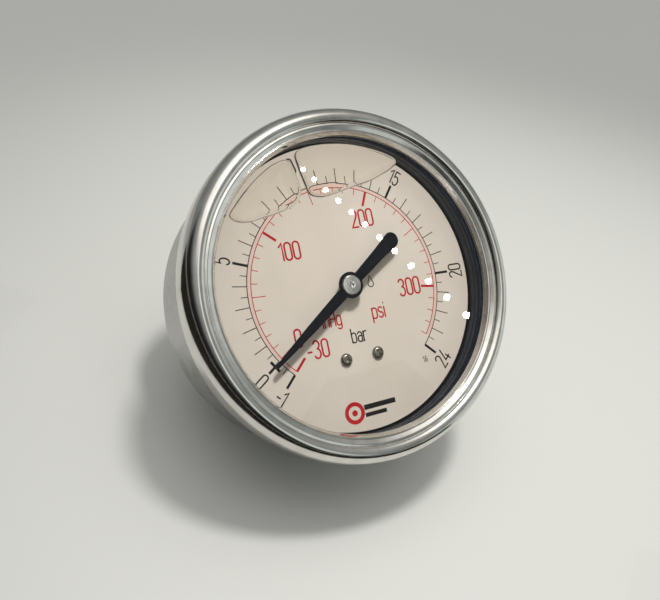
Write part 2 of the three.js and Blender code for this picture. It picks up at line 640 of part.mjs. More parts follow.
place('movement_back_plate', movementPlate(BACK_PLATE_BACK - PLATE.thickness,
  PLATE_SCREWS.map(([x, z]) => [x, z, PLATE_SCREW.hole])), BRASS);
place('movement_front_plate', movementPlate(FRONT_PLATE_FRONT,
  [...PILLARS.map(([x, z]) => [x, z, PILLAR.hole]),
    ...DIAL_SCREWS.map(([x, z]) => [x, z, DIAL_SCREW.tapped])]), BRASS);
PILLARS.forEach(([x, z], index) => {
  place(`pillar_${index + 1}`, pillar(), BRASS, x, z);
  place(`pillar_screw_${index + 1}`, seatedScrew(PILLAR_SCREW, FRONT_PLATE_FRONT - 0.1), PALE_METAL, x, z);
});
PLATE_SCREWS.forEach(([x, z], index) => {
  const headBack = BACK_PLATE_BACK - PLATE.thickness - 0.1;
  place(`plate_screw_${index + 1}`, seatedScrew(PLATE_SCREW, headBack), PALE_METAL, x, z);
});

place('sector_arbor', sectorArbor(), PALE_METAL, 0, -CENTRES);
place('sector_gear', sectorGear(), BRASS, 0, -CENTRES);
place('link_bar', linkBar(), BRASS, ...linkInner);
place('link_pin_inner', linkPin(), PALE_METAL, ...linkInner);

place('pinion_arbor', pinionArbor(), PALE_METAL);
place('hairspring', hairspring(), BRONZE);
place('hairspring_collet', hairspringCollet(), BRASS);
place('hairspring_stud', hairspringStud(), BRASS, ...onDial(HAIRSPRING.outer + 1.0, 90 + 360 * HAIRSPRING.turns));

place('dial_plate', dialPlate(), CREAM_ENAMEL);
place('dial_screw_left', dialScrew(), PALE_METAL, ...DIAL_SCREWS[0]);
place('dial_screw_right', dialScrew(), PALE_METAL, ...DIAL_SCREWS[1]);
place('pointer_blade', pointerBlade(), BLACK_ENAMEL);
place('pointer_bushing', pointerBushing(), PALE_METAL);

export default group;
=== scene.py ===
"""Looks of a liquid-filled pressure gauge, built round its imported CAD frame.

Lengths in this script are millimetres unless a name says otherwise, and helpers turn them into metres.
The gauge's axis is Y, its dial faces -Y, +Z is 12 o'clock, and dial angles run clockwise from 12 o'clock.
"""

import json
import math

import bmesh
import bpy
from mathutils import Matrix, Vector


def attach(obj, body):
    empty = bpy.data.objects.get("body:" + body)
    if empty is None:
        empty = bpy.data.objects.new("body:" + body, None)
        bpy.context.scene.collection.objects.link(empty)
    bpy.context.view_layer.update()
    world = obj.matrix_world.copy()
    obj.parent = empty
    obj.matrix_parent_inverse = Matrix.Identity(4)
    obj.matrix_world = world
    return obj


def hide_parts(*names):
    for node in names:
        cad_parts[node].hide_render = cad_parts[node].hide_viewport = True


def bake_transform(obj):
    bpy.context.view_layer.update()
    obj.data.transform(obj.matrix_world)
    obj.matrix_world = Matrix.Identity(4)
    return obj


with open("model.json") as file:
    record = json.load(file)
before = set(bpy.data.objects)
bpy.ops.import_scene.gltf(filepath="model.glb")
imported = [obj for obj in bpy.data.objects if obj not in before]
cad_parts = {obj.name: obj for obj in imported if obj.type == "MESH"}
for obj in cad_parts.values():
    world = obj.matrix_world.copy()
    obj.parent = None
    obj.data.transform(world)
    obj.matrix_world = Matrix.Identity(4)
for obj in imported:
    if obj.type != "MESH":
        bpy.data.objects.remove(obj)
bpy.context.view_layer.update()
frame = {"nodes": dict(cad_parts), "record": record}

MM = 0.001

# ------------------------ driving dimensions

ROUND = 240                  # segments of the case-sized turned pieces
MIDDLE = 96                  # segments of the stem
FINE = 48                    # segments of screws, hub and plug

CASE = {"radius": 31.3, "wall": 0.8, "back": -24.0, "rim": -48.8, "rim_radius": 32.4, "hole": 7.2}
PLUG = {"y": -36.5, "hole": 3.9, "neck": 3.6, "head": 5.2, "inside": 29.3, "seat": 31.5, "top": 33.0}
CASE_SCREW_X = 11.8
WINDOW = {"radius": 32.4, "front": -53.4, "back": -50.6}
# The liquid reaches a hair into the rubber wall and into the dial, so that it wets them without a gap.
LIQUID = {"radius": 28.95, "front": -50.58, "back": -45.19}
RING = {"crest": 31.95, "front": -56.0, "bead_wide": 2.3, "bead_deep": 3.6, "inside_wide": 1.25,
        "inside_deep": 0.95}
GASKET = {"inner": 28.9, "outer": 32.2, "front": -50.4, "flange": -49.0, "wall": 1.3, "foot": -45.5}

DIAL = {"radius": 28.5, "front": -45.2, "thickness": 0.6, "bore": 1.7}
DIAL_SCREWS = [(-3.55, -14.05), (3.55, -14.05)]
INK = 0.03                   # height of the print above the dial
ZERO_ANGLE = -124.2          # dial angle of the pointer at rest

BLADE = {"front": -47.9, "thickness": 0.4, "hub": 2.62, "hole": 1.3, "tail": 1.62}
HUB = {"front": -48.4, "radius": 2.0}

TUBE = {"radius": 20.0, "width": 8.0, "thickness": 2.6, "y": -36.0, "root": 227, "tip": 508}

# ------------------------ mesh helpers


def on_dial(radius, angle):
    """Point in the dial's plane, as (x, z), at a radius and a dial angle in degrees."""
    turn = math.radians(angle)
    return Vector((radius * math.sin(turn), radius * math.cos(turn)))


def rounded(corners, closed=True, steps=6):
    """Profile with its marked corners rounded. A corner is (radius, y) or (radius, y, fillet)."""
    points = []
    count = len(corners)
    for index, corner in enumerate(corners):
        here = Vector(corner[:2])
        end = not closed and index in (0, count - 1)
        if len(corner) < 3 or end:
            points.append(here)
            continue
        before = Vector(corners[index - 1][:2]) - here
        after = Vector(corners[(index + 1) % count][:2]) - here
        half = before.angle(after) / 2
        reach = min(corner[2] / math.tan(half), before.length * 0.49, after.length * 0.49)
        radius = reach * math.tan(half)
        centre = here + (before.normalized() + after.normalized()).normalized() * (radius / math.sin(half))
        first = here + before.normalized() * reach - centre
        last = here + after.normalized() * reach - centre
        sweep = first.angle_signed(last)
        for step in range(steps + 1):
            points.append(centre + Matrix.Rotation(-sweep * step / steps, 2) @ first)
    return points


def shade(mesh, sharp):
    """Smooth shading, sharp where the surface turns by more than an angle, flat where it is square to Y."""
    mesh.shade_smooth()
    mesh.set_sharp_from_angle(angle=math.radians(sharp))
    for face in mesh.polygons:
        if abs(face.normal.y) > 0.99999:
            face.use_smooth = False


def finish_mesh(mesh, sharp=32):
    """Outward faces, one point where several meet, and shading."""
    work = bmesh.new()
    work.from_mesh(mesh)
    bmesh.ops.remove_doubles(work, verts=work.verts, dist=0.5e-6)
    bmesh.ops.recalc_face_normals(work, faces=work.faces)
    work.to_mesh(mesh)
    work.free()
    shade(mesh, sharp)


def placed(name, data):
    """New object in the scene."""
    made = bpy.data.objects.new(name, data)
    bpy.context.scene.collection.objects.link(made)
    return made


def raw_piece(name, points_m, faces, material=None):
    """Mesh object from points in metres, with its faces as they are given."""
    mesh = bpy.data.meshes.new(name)
    mesh.from_pydata(points_m, [], faces)
    if material:
        mesh.materials.append(material)
    return placed(name, mesh)


def piece(name, vertices, faces, material=None, sharp=32):
    """Mesh object from points in millimetres, with its faces turned outward."""
    made = raw_piece(name, [Vector(v) * MM for v in vertices], faces, material)
    finish_mesh(made.data, sharp)
    return made


def strips(rows, closed=False):
    """Faces between each row of points and the next. A row is a ring, or one point over and over."""
    faces = []
    for lower, upper in list(zip(rows, rows[1:])) + ([(rows[-1], rows[0])] if closed else []):
        for index in range(len(lower)):
            following = (index + 1) % len(lower)
            corners = dict.fromkeys([lower[index], lower[following], upper[following], upper[index]])
            if len(corners) > 2:
                faces.append(list(corners))
    return faces


def turned(name, profile, material=None, segments=FINE, closed=True, radius_at=None, sharp=32):
    """Piece turned about the Y axis. An open profile starts and ends on the axis.
    radius_at(index, angle) gives another radius for a point of the profile, for a thread."""
    vertices = []
    rows = []
    for index, (radius, y) in enumerate(profile):
        if radius < 1e-6:
            rows.append([len(vertices)] * segments)
            vertices.append((0, y, 0))
            continue
        row = []
        for segment in range(segments):
            angle = 2 * math.pi * segment / segments
            here = radius_at(index, angle) if radius_at else radius
            row.append(len(vertices))
            vertices.append((here * math.sin(angle), y, here * math.cos(angle)))
        rows.append(row)
    return piece(name, vertices, strips(rows, closed), material, sharp)


def lathed(name, material, segments, corners, closed=True, steps=6, sharp=32):
    """Piece turned about the Y axis from a profile with rounded corners."""
    return turned(name, rounded(corners, closed, steps), material, segments, closed, sharp=sharp)


def box(width, depth, height, centre):
    """Plain block used as a cutter or a stub, in millimetres."""
    half = Vector((width, depth, height)) / 2
    signs = [(x, y, z) for x in (-1, 1) for y in (-1, 1) for z in (-1, 1)]
    vertices = [Vector(centre) + Vector((half.x * x, half.y * y, half.z * z)) for x, y, z in signs]
    faces = [(0, 1, 3, 2), (4, 6, 7, 5), (0, 4, 5, 1), (2, 3, 7, 6), (0, 2, 6, 4), (1, 5, 7, 3)]
    return piece("block", vertices, faces)


def rod(radius, from_y, to_y, x=0.0, z=0.0, segments=FINE):
    """Plain round bar along Y, used as a cutter or a stub."""
    profile = [(0, from_y), (radius, from_y), (radius, to_y), (0, to_y)]
    return shifted(turned("rod", profile, None, segments, closed=False), x, 0, z)


def combine(target, others, operation="DIFFERENCE", sharp=32):
    """Cuts the other objects out of the target, or adds them to it, and removes them."""
    for other in others:
        step = target.modifiers.new("combine", "BOOLEAN")
        step.operation = operation
        step.solver = "EXACT"
        step.object = other
    bpy.context.view_layer.update()
    evaluated = target.evaluated_get(bpy.context.evaluated_depsgraph_get())
    mesh = bpy.data.meshes.new_from_object(evaluated)
    target.modifiers.clear()
    target.data = mesh
    for other in others:
        bpy.data.objects.remove(other)
    finish_mesh(mesh, sharp)
    return target


def spun(made, degrees, axis="Y"):
    """The piece with its mesh turned about an axis of the gauge."""
    made.data.transform(Matrix.Rotation(math.radians(degrees), 4, axis))
    return made


def shifted(made, x, y, z):
    """The piece with its mesh moved by millimetres."""
    made.data.transform(Matrix.Translation((x * MM, y * MM, z * MM)))
    return made


def flat_solid(name, outline, front, thickness, material, bevel=0.0):
    """Piece cut from sheet: an outline of (x, z) points between two Y planes, with its edges bevelled."""
    count = len(outline)
    vertices = [(x, front, z) for x, z in outline] + [(x, front + thickness, z) for x, z in outline]
    faces = [list(range(count)), [count + index for index in range(count)]]
    for index in range(count):
        following = (index + 1) % count
        faces.append([index, following, count + following, count + index])
    made = piece(name, vertices, faces, material)
    if bevel:
        work = bmesh.new()
        work.from_mesh(made.data)
        rim = [edge for edge in work.edges if edge.calc_face_angle(0) > math.radians(60)]
        bmesh.ops.bevel(work, geom=rim, offset=bevel * MM, segments=3, affect="EDGES", profile=0.5)
        work.to_mesh(made.data)
        work.free()
        finish_mesh(made.data, 40)
    return made


# ------------------------ material helpers


class Nodes:
    """Small builder for the node tree of a material or a world, round its main shader."""

    def __init__(self, name, kind="materials", shader="Principled BSDF"):
        self.owner = getattr(bpy.data, kind).new(name)
        self.owner.use_nodes = True
        self.tree = self.owner.node_tree
        self.shader = self.tree.nodes[shader]

    def feed(self, node, sockets):
        """Gives a node's sockets, by name or place, their values or the outputs of other nodes."""
        for key, value in sockets.items():
            if isinstance(value, bpy.types.NodeSocket):
                self.tree.links.new(value, node.inputs[key])
            else:
                node.inputs[key].default_value = value

    def new(self, kind, sockets, output=0, **settings):
        """Makes a node and returns one of its outputs."""
        node = self.tree.nodes.new(kind)
        for key, value in settings.items():
            setattr(node, key, value)
        self.feed(node, sockets)
        return node.outputs[output]

    def mixed(self, share, first, second):
        """Shader that goes from the first to the second as the share goes from 0 to 1."""
        return self.new("ShaderNodeMixShader", {0: share, 1: first, 2: second})

    def show(self, shader):
        """Makes a shader the material's surface. The main shader goes if nothing uses it any more."""
        self.feed(self.tree.nodes["Material Output"], {"Surface": shader})
        if not self.shader.outputs[0].links:
            self.tree.nodes.remove(self.shader)
        return self.owner

    def math(self, operation, *values):
        return self.new("ShaderNodeMath", dict(enumerate(values)), operation=operation)

    def place(self):
        """Position in the gauge's frame, in millimetres."""
        here = self.new("ShaderNodeTexCoord", {}, "Object")
        return self.new("ShaderNodeVectorMath", {0: here, "Scale": 1 / MM}, operation="SCALE")

    def turned_place(self, across, along):
        """Position for marks left by turning or polishing: fine across the circle, and long round it."""
        x, y, z = self.new("ShaderNodeSeparateXYZ", {0: self.place()}).node.outputs
        radius = self.math("SQRT", self.math("ADD", self.math("POWER", x, 2), self.math("POWER", z, 2)))
        parts = ((radius, across), (y, across), (self.math("ARCTAN2", z, x), along))
        return self.new("ShaderNodeCombineXYZ",
                        {index: self.math("MULTIPLY", *part) for index, part in enumerate(parts)})

    def noise(self, vector, scale, detail=3.0, rough=0.5):
        sockets = {"Vector": vector, "Scale": scale, "Detail": detail, "Roughness": rough}
        return self.new("ShaderNodeTexNoise", sockets, "Fac")

    def ramp(self, factor, low, high, low_at, high_at, kind="LINEAR"):
        """Goes from one colour or number to another as the factor goes from low_at to high_at."""
        sockets = {"Value": factor, "From Min": low_at, "From Max": high_at}
        if isinstance(low, (int, float)):
            sockets.update({"To Min": low, "To Max": high})
            return self.new("ShaderNodeMapRange", sockets, interpolation_type=kind)
        share = self.new("ShaderNodeMapRange", sockets, interpolation_type=kind)
        # The colour sockets of a Mix node come after its number and vector ones.
        return self.new("ShaderNodeMix", {0: share, 6: (*low, 1), 7: (*high, 1)}, 2, data_type="RGBA")

    def bump(self, height, strength, distance):
        """Relief whose depth is given in millimetres."""
        return self.new("ShaderNodeBump", {"Height": height, "Strength": strength, "Distance": distance * MM})


def metal(name, low, high, roughness, spread, grain, across=9.0, along=2.0, strength=0.25):
    """Metal with turning marks, a mottled tone and a varying polish."""
    look = Nodes(name)
    marks = look.noise(look.turned_place(across, along), 1.0, 4.0, 0.6)
    cloud = look.noise(look.place(), 0.35, 3.0)
    polish = look.math("ADD", look.math("MULTIPLY", marks, 0.6), look.math("MULTIPLY", cloud, 0.4))
    look.feed(look.shader, {
        "Metallic": 1.0,
        "Base Color": look.ramp(cloud, low, high, 0.35, 0.65),
        "Roughness": look.ramp(polish, roughness - spread, roughness + spread, 0.35, 0.65),
        "Normal": look.bump(marks, strength, grain),
    })
    return look.owner


def rubber(name, low, high, roughness=0.55, gloss=0.5):
    """Moulded rubber. Its gloss is low where liquid of much the same refraction covers it."""
    look = Nodes(name)
    cloud = look.noise(look.place(), 0.8, 4.0)
    pores = look.noise(look.place(), 7.0, 3.0)
    look.feed(look.shader, {
        "Specular IOR Level": gloss,
        "Base Color": look.ramp(cloud, low, high, 0.35, 0.65),
        "Roughness": look.ramp(cloud, roughness - 0.1, roughness + 0.1, 0.3, 0.7),
        "Normal": look.bump(pores, 0.3, 0.03),
    })
    return look.owner


def enamel(name, low, high, roughness, cloud_scale=0.12, peel=0.012):
    """Painted or printed surface under the liquid, with a faint cloudiness and a fine orange peel."""
    look = Nodes(name)
    cloud = look.noise(look.place(), cloud_scale, 2.0)
    grain = look.noise(look.place(), 5.0, 3.0)
    look.feed(look.shader, {
        "Specular IOR Level": 0.08,
        "Base Color": look.ramp(cloud, low, high, 0.35, 0.65),
        "Roughness": look.ramp(grain, roughness - 0.06, roughness + 0.06, 0.3, 0.7),
        "Normal": look.bump(grain, 0.25, peel),
    })
    return look.owner


def clear(name, low, high, refraction, rim=0.0):
    """Clear solid. It refracts what the eye sees, but lets the lamps' light straight through.
    Where the eye grazes its surface, up to a share called the rim looks like pale satin."""
    look = Nodes(name)
    cloud = look.noise(look.place(), 0.06, 2.0)
    tint = look.ramp(cloud, low, high, 0.3, 0.7)
    seen = look.new("ShaderNodeBsdfGlass", {"Color": tint, "IOR": refraction, "Roughness": 0.0})
    if rim:
        tone = look.ramp(cloud, (0.88, 0.86, 0.82), (0.95, 0.94, 0.91), 0.3, 0.7)
        pale = look.new("ShaderNodeBsdfAnisotropic", {"Color": tone, "Roughness": 0.4})
        slant = look.new("ShaderNodeLayerWeight", {}, "Facing")
        seen = look.mixed(look.ramp(slant, 0.0, rim, 0.55, 0.85), seen, pale)
    through = look.new("ShaderNodeBsdfTransparent", {"Color": tint})
    return look.show(look.mixed(look.new("ShaderNodeLightPath", {}, "Is Shadow Ray"), seen, through))


def wetted(name, low, high):
    """Face where two clear solids of the same refraction touch: nothing bends or reflects there."""
    look = Nodes(name)
    tint = look.ramp(look.noise(look.place(), 0.06, 2.0), low, high, 0.3, 0.7)
    return look.show(look.new("ShaderNodeBsdfTransparent", {"Color": tint}))


# ------------------------ materials

RING_STEEL = metal("ring_steel", (0.65, 0.63, 0.59), (0.73, 0.715, 0.675), 0.15, 0.04, 0.002, 6.0, 5.0, 0.06)
CASE_STEEL = metal("case_steel", (0.42, 0.42, 0.40), (0.50, 0.50, 0.49), 0.30, 0.07, 0.006, 7.0, 2.0)
BRASS = metal("turned_brass", (0.66, 0.47, 0.20), (0.76, 0.57, 0.28), 0.26, 0.07, 0.006, 8.0, 2.0)
BRONZE = metal("drawn_bronze", (0.52, 0.32, 0.14), (0.62, 0.41, 0.20), 0.32, 0.07, 0.006, 6.0, 2.0)
DULL_METAL = metal("dull_zinc", (0.26, 0.24, 0.21), (0.36, 0.34, 0.30), 0.30, 0.08, 0.01, 8.0, 2.0)
PALE_METAL = metal("plated_steel", (0.62, 0.62, 0.60), (0.74, 0.74, 0.73), 0.22, 0.06, 0.004, 10.0, 2.0)
HUB_METAL = metal("hub_nickel", (0.66, 0.66, 0.65), (0.80, 0.80, 0.80), 0.22, 0.08, 0.008, 16.0, 1.0, 0.5)
# The rubber is black; its faint blue tint is painted reflection, standing in for the bluish reflection in the
# gasket wall.
GASKET_RUBBER = rubber("gasket_rubber", (0.003, 0.007, 0.016), (0.006, 0.012, 0.026), 0.38, 0.1)
PLUG_RUBBER = rubber("plug_rubber", (0.012, 0.012, 0.013), (0.022, 0.022, 0.023), 0.6)
DIAL_WHITE = enamel("dial_enamel", (0.80, 0.73, 0.66), (0.83, 0.76, 0.69), 0.55)
# A shade darker than the dial, for the faint field round the maker's space.
DIAL_DARKER_FIELD = enamel("dial_varnish", (0.77, 0.70, 0.63), (0.80, 0.73, 0.66), 0.5)
# The pointer is black; its faint blue tint is painted reflection, standing in for the bluish reflection on
# it.
POINTER_BLACK = enamel("pointer_enamel", (0.003, 0.004, 0.008), (0.006, 0.009, 0.016), 0.32, 0.5, 0.006)
INK_BLACK = enamel("ink_black", (0.010, 0.009, 0.010), (0.020, 0.017, 0.018), 0.5, 0.6, 0.004)
INK_RED = enamel("ink_red", (0.50, 0.010, 0.016), (0.58, 0.020, 0.026), 0.5, 0.6, 0.004)
INK_PINK = enamel("ink_pink", (0.84, 0.64, 0.58), (0.87, 0.67, 0.61), 0.5, 0.6, 0.004)
WINDOW_CLEAR = clear("window_clear", (0.985, 0.985, 0.975), (1.0, 1.0, 0.995), 1.47)
LIQUID_CLEAR = clear("liquid_clear", (0.985, 0.975, 0.955), (0.995, 0.985, 0.97), 1.47, rim=0.9)
WETTED_CLEAR = wetted("wetted_clear", (0.985, 0.98, 0.965), (0.995, 0.99, 0.98))

# ------------------------ case, ring, window, gasket and plug


def ride(made, body, slot, *nodes):
    """Fixes a piece to its body, and takes the CAD nodes' place if it stands for any. The slot is not used.
    """
    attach(made, body)
    if nodes:
        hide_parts(*nodes)
    return made


def make_case():
    """Deep-drawn cup: a shallow formed bead in its back, a rounded corner and an out-turned rim."""
    inside = CASE["radius"] - CASE["wall"]
    back = CASE["back"]
    skin = back - CASE["wall"]
    rim = CASE["rim"]
    made = lathed("case_body", CASE_STEEL, ROUND, [
        (CASE["hole"], back, 0.15), (22.4, back, 0.5), (23.0, back - 0.35, 0.5), (25.4, back - 0.35, 0.5),
        (26.0, back, 0.5), (CASE["radius"], back, 2.0), (CASE["radius"], rim + CASE["wall"], 0.3),
        (CASE["rim_radius"], rim + CASE["wall"], 0.2), (CASE["rim_radius"], rim, 0.2), (inside, rim, 0.5),
        (inside, skin, 1.4), (CASE["hole"], skin, 0.15),
    ])
    plug_hole = shifted(spun(rod(PLUG["hole"], 20, 40), 90, "X"), 0, PLUG["y"], 0)
    screw_holes = [rod(1.6, back + 2, skin - 2, x) for x in (-CASE_SCREW_X, CASE_SCREW_X)]
    combine(made, [plug_hole, *screw_holes])
    return ride(made, "case", "satin_steel", "case_shell")


def make_ring():
    """Rolled ring: a broad bead, a valley, a nearly flat land, a fine groove and a steep wall to the lip."""
    outer = [math.radians(5 * step) for step in range(19)]
    inner = [math.radians(8 * step) for step in range(1, 10)]
    bead = [(RING["crest"] + RING["bead_wide"] * math.cos(turn),
             RING["front"] + RING["bead_deep"] * (1 - math.sin(turn))) for turn in outer]
    bead += [(RING["crest"] - RING["inside_wide"] * math.sin(turn),
              RING["front"] + RING["inside_deep"] * (1 - math.cos(turn))) for turn in inner]
    made = lathed("crimped_ring", RING_STEEL, ROUND, [
        (31.72, -46.92, 0.2), (33.3, -46.92, 0.8), (34.05, -48.1, 0.8), *bead, (30.85, -55.2, 0.25),
        (30.3, -55.3, 0.5), (29.5, -54.95, 0.1), (29.38, -54.72, 0.05), (29.24, -54.95, 0.07),
        (29.08, -54.9, 0.08), (28.68, -54.0, 0.12), (28.5, -53.8, 0.08), (28.75, -53.62, 0.08),
        (32.85, -53.62, 0.2), (32.85, -47.8, 0.2), (31.72, -47.8, 0.2),
    ], steps=10)
    return ride(made, "case", "polished_steel", "bezel_ring")


def give_faces(made, material, chosen):
    """Gives a second material to the faces that chosen(face) picks."""
    made.data.materials.append(material)
    for face in made.data.polygons:
        if chosen(face):
            face.material_index = 1


def make_window():
    """Flat pane. Its back is wetted by the liquid."""
    made = lathed("window_pane", WINDOW_CLEAR, ROUND, [
        (0, WINDOW["front"]), (WINDOW["radius"], WINDOW["front"], 0.3),
        (WINDOW["radius"], WINDOW["back"], 0.2), (0, WINDOW["back"]),
    ], closed=False)
    give_faces(made, WETTED_CLEAR, lambda face: face.normal.y > 0.99)
    return ride(made, "case", "window", "window_glass")


def make_gasket():
    """L-section rubber: a flange under the window and a wall that lines the case down to the dial."""
    inner = GASKET["inner"]
    outer_wall = inner + GASKET["wall"]
    made = lathed("window_seal", GASKET_RUBBER, ROUND, [
        (inner, GASKET["front"], 0.22), (GASKET["outer"], GASKET["front"], 0.2),
        (GASKET["outer"], GASKET["flange"], 0.2), (outer_wall, GASKET["flange"], 0.1),
        (outer_wall, GASKET["foot"], 0.2), (inner, GASKET["foot"], 0.2),
        (inner, -48.3, 0.1), (inner + 0.12, -48.45, 0.1), (inner + 0.12, -48.7, 0.1), (inner, -48.85, 0.1),
    ])
    return ride(made, "case", "black_rubber", "window_gasket")


def make_plug():
    """Mushroom-shaped rubber plug in the case's filling hole, with a moulded ring and a nib in its top."""
    top = PLUG["top"]
    neck = PLUG["neck"]
    head = PLUG["head"]
    made = lathed("filling_plug", PLUG_RUBBER, 64, [
        (0, PLUG["inside"]), (neck - 0.5, PLUG["inside"], 0.4), (neck, PLUG["inside"] + 1.2, 0.3),
        (neck, PLUG["seat"], 0.1), (head, PLUG["seat"], 0.15), (head, top - 0.5, 0.5),
        (head - 0.9, top, 0.4), (3.3, top, 0.2), (3.1, top - 0.4, 0.2), (2.4, top - 0.4, 0.2),
        (2.2, top - 0.1, 0.2), (0.6, top - 0.1, 0.1), (0.4, top, 0.2), (0, top),
    ], closed=False)
    shifted(spun(made, 90, "X"), 0, PLUG["y"], 0)
    return ride(made, "plug", "black_rubber", "fill_plug")


# ------------------------ liquid and its air bubbles


def smooth_loop(points, steps=8):
    """Closed smooth curve through points of the dial's plane."""
    points = [Vector(point) for point in points]
    count = len(points)
    loop = []
    for index in range(count):
        a, b, c, d = (points[(index + offset) % count] for offset in (-1, 0, 1, 2))
        for step in range(steps):
            t = step / steps
            loop.append(0.5 * (2 * b + (c - a) * t + (2 * a - 5 * b + 4 * c - d) * t * t
                               + (3 * b - a - 3 * c + d) * t ** 3))
    return loop


def bubble_rows(outline, front, depth, edge):
    """Rings of a flat bubble with a rounded edge, from its front to its back, as lists of points."""
    centre = sum(outline, Vector((0, 0))) / len(outline)
    steps = 10
    rings = []
    for turn in (math.pi * step / steps for step in range(steps + 1)):
        inset = edge * (1 - math.sin(turn))
        ring = []
        for point in outline:
            away = point - centre
            ring.append(centre + away * max(0.2, 1 - inset / away.length))
        rings.append((ring, front + depth * (1 - math.cos(turn)) / 2))
    # Both flat sides close over a smaller ring and a middle point, with a slight dome.
    first_ring, first_y = rings[0]
    last_ring, last_y = rings[-1]
    inner_front = [centre + (point - centre) * 0.55 for point in first_ring]
    inner_back = [centre + (point - centre) * 0.55 for point in last_ring]
    return centre, [(inner_front, first_y), *rings, (inner_back, last_y + 0.15)]


# Outlines of the air under the window, as (x, z) points: two bubbles at the top, held apart by a film.
BUBBLE_RIGHT = [
    (-5.3, 18.4), (-2.9, 17.6), (-0.25, 17.9), (2.6, 18.5), (5.4, 19.1), (8.2, 19.6), (11.2, 20.6),
    (13.7, 21.6), (15.3, 22.9), (14.4, 24.2), (10.6, 26.0), (5.5, 27.5), (0.0, 28.0), (-4.8, 27.6),
    (-6.7, 26.4), (-6.6, 23.8), (-6.0, 20.8),
]
BUBBLE_LEFT = [
    (-22.0, 16.2), (-20.6, 14.9), (-18.3, 14.6), (-15.9, 15.0), (-13.4, 15.4), (-10.8, 16.0), (-8.6, 16.9),
    (-7.1, 18.4), (-6.9, 20.6), (-7.3, 23.2), (-8.2, 25.5), (-11.0, 25.2), (-14.5, 23.3), (-18.0, 20.6),
    (-20.8, 17.9),
]
# Each bubble's outline, its depth, and how far its rounded edge reaches in.
BUBBLES = ((BUBBLE_RIGHT, 2.2, 0.8), (BUBBLE_LEFT, 3.0, 1.1))


def make_liquid():
    """Glycerine between the window and the dial: one solid whose hollows are the two air bubbles."""
    side = LIQUID["radius"]
    vertices = []
    faces = []

    def add_shell(rings, centre, outward):
        """Closed skin over rings of points. Both ends close over a middle point."""
        size = len(rings[0][0])
        rows = []
        for ring, y in [([centre], rings[0][1]), *rings, ([centre], rings[-1][1])]:
            row = list(range(len(vertices), len(vertices) + len(ring)))
            rows.append(row if len(row) == size else row * size)
            vertices.extend((x, y, z) for x, z in ring)
        faces.extend(face if outward else face[::-1] for face in strips(rows))

    circle = [on_dial(side, 360 * index / ROUND) for index in range(ROUND)]
    slightly_in = [point * ((side - 0.1) / side) for point in circle]
    sides = [(slightly_in, LIQUID["front"]), (circle, LIQUID["front"] + 0.1),
             (circle, LIQUID["back"] - 0.1), (slightly_in, LIQUID["back"])]
    add_shell(sides, (0, 0), True)
    outer_faces = len(faces)
    for outline, depth, edge in BUBBLES:
        centre, rings = bubble_rows(smooth_loop(outline), LIQUID["front"] + 0.06, depth, edge)
        add_shell(rings, centre, False)

    made = raw_piece("filling_liquid", [Vector(v) * MM for v in vertices], faces, LIQUID_CLEAR)
    shade(made.data, 40)
    give_faces(made, WETTED_CLEAR, lambda face: face.index < outer_faces)
    return ride(made, "case", "window")


# ------------------------ dial and its print

SCALE_START = -135.0         # dial angle of -1 bar
BAR_STEP = 10.8              # degrees for one bar
BAR_FIRST = -1
BAR_LAST = 24
BAR_PER_PSI = 0.0689476
LAST_PSI = 340
# Each scale's arc, the far end of its long ticks, the lengths of its middle and short ones, the width of its
# lines, and its numerals.
BLACK = {"arc": 20.76, "long": 23.77, "middle": 2.9, "short": 1.4, "line": 0.17, "thin": 0.15,
         "height": 3.0, "pen": 0.3, "numerals": 25.8}
RED = {"arc": 19.98, "long": 16.93, "middle": 2.7, "short": 1.3, "line": 0.16, "thin": 0.14,
       "height": 3.4, "pen": 0.36}
LONG_TICK = 0.5              # width of the long ticks


def bar_angle(bar):
    return SCALE_START + (bar - BAR_FIRST) * BAR_STEP


def psi_angle(psi):
    return bar_angle(psi * BAR_PER_PSI)


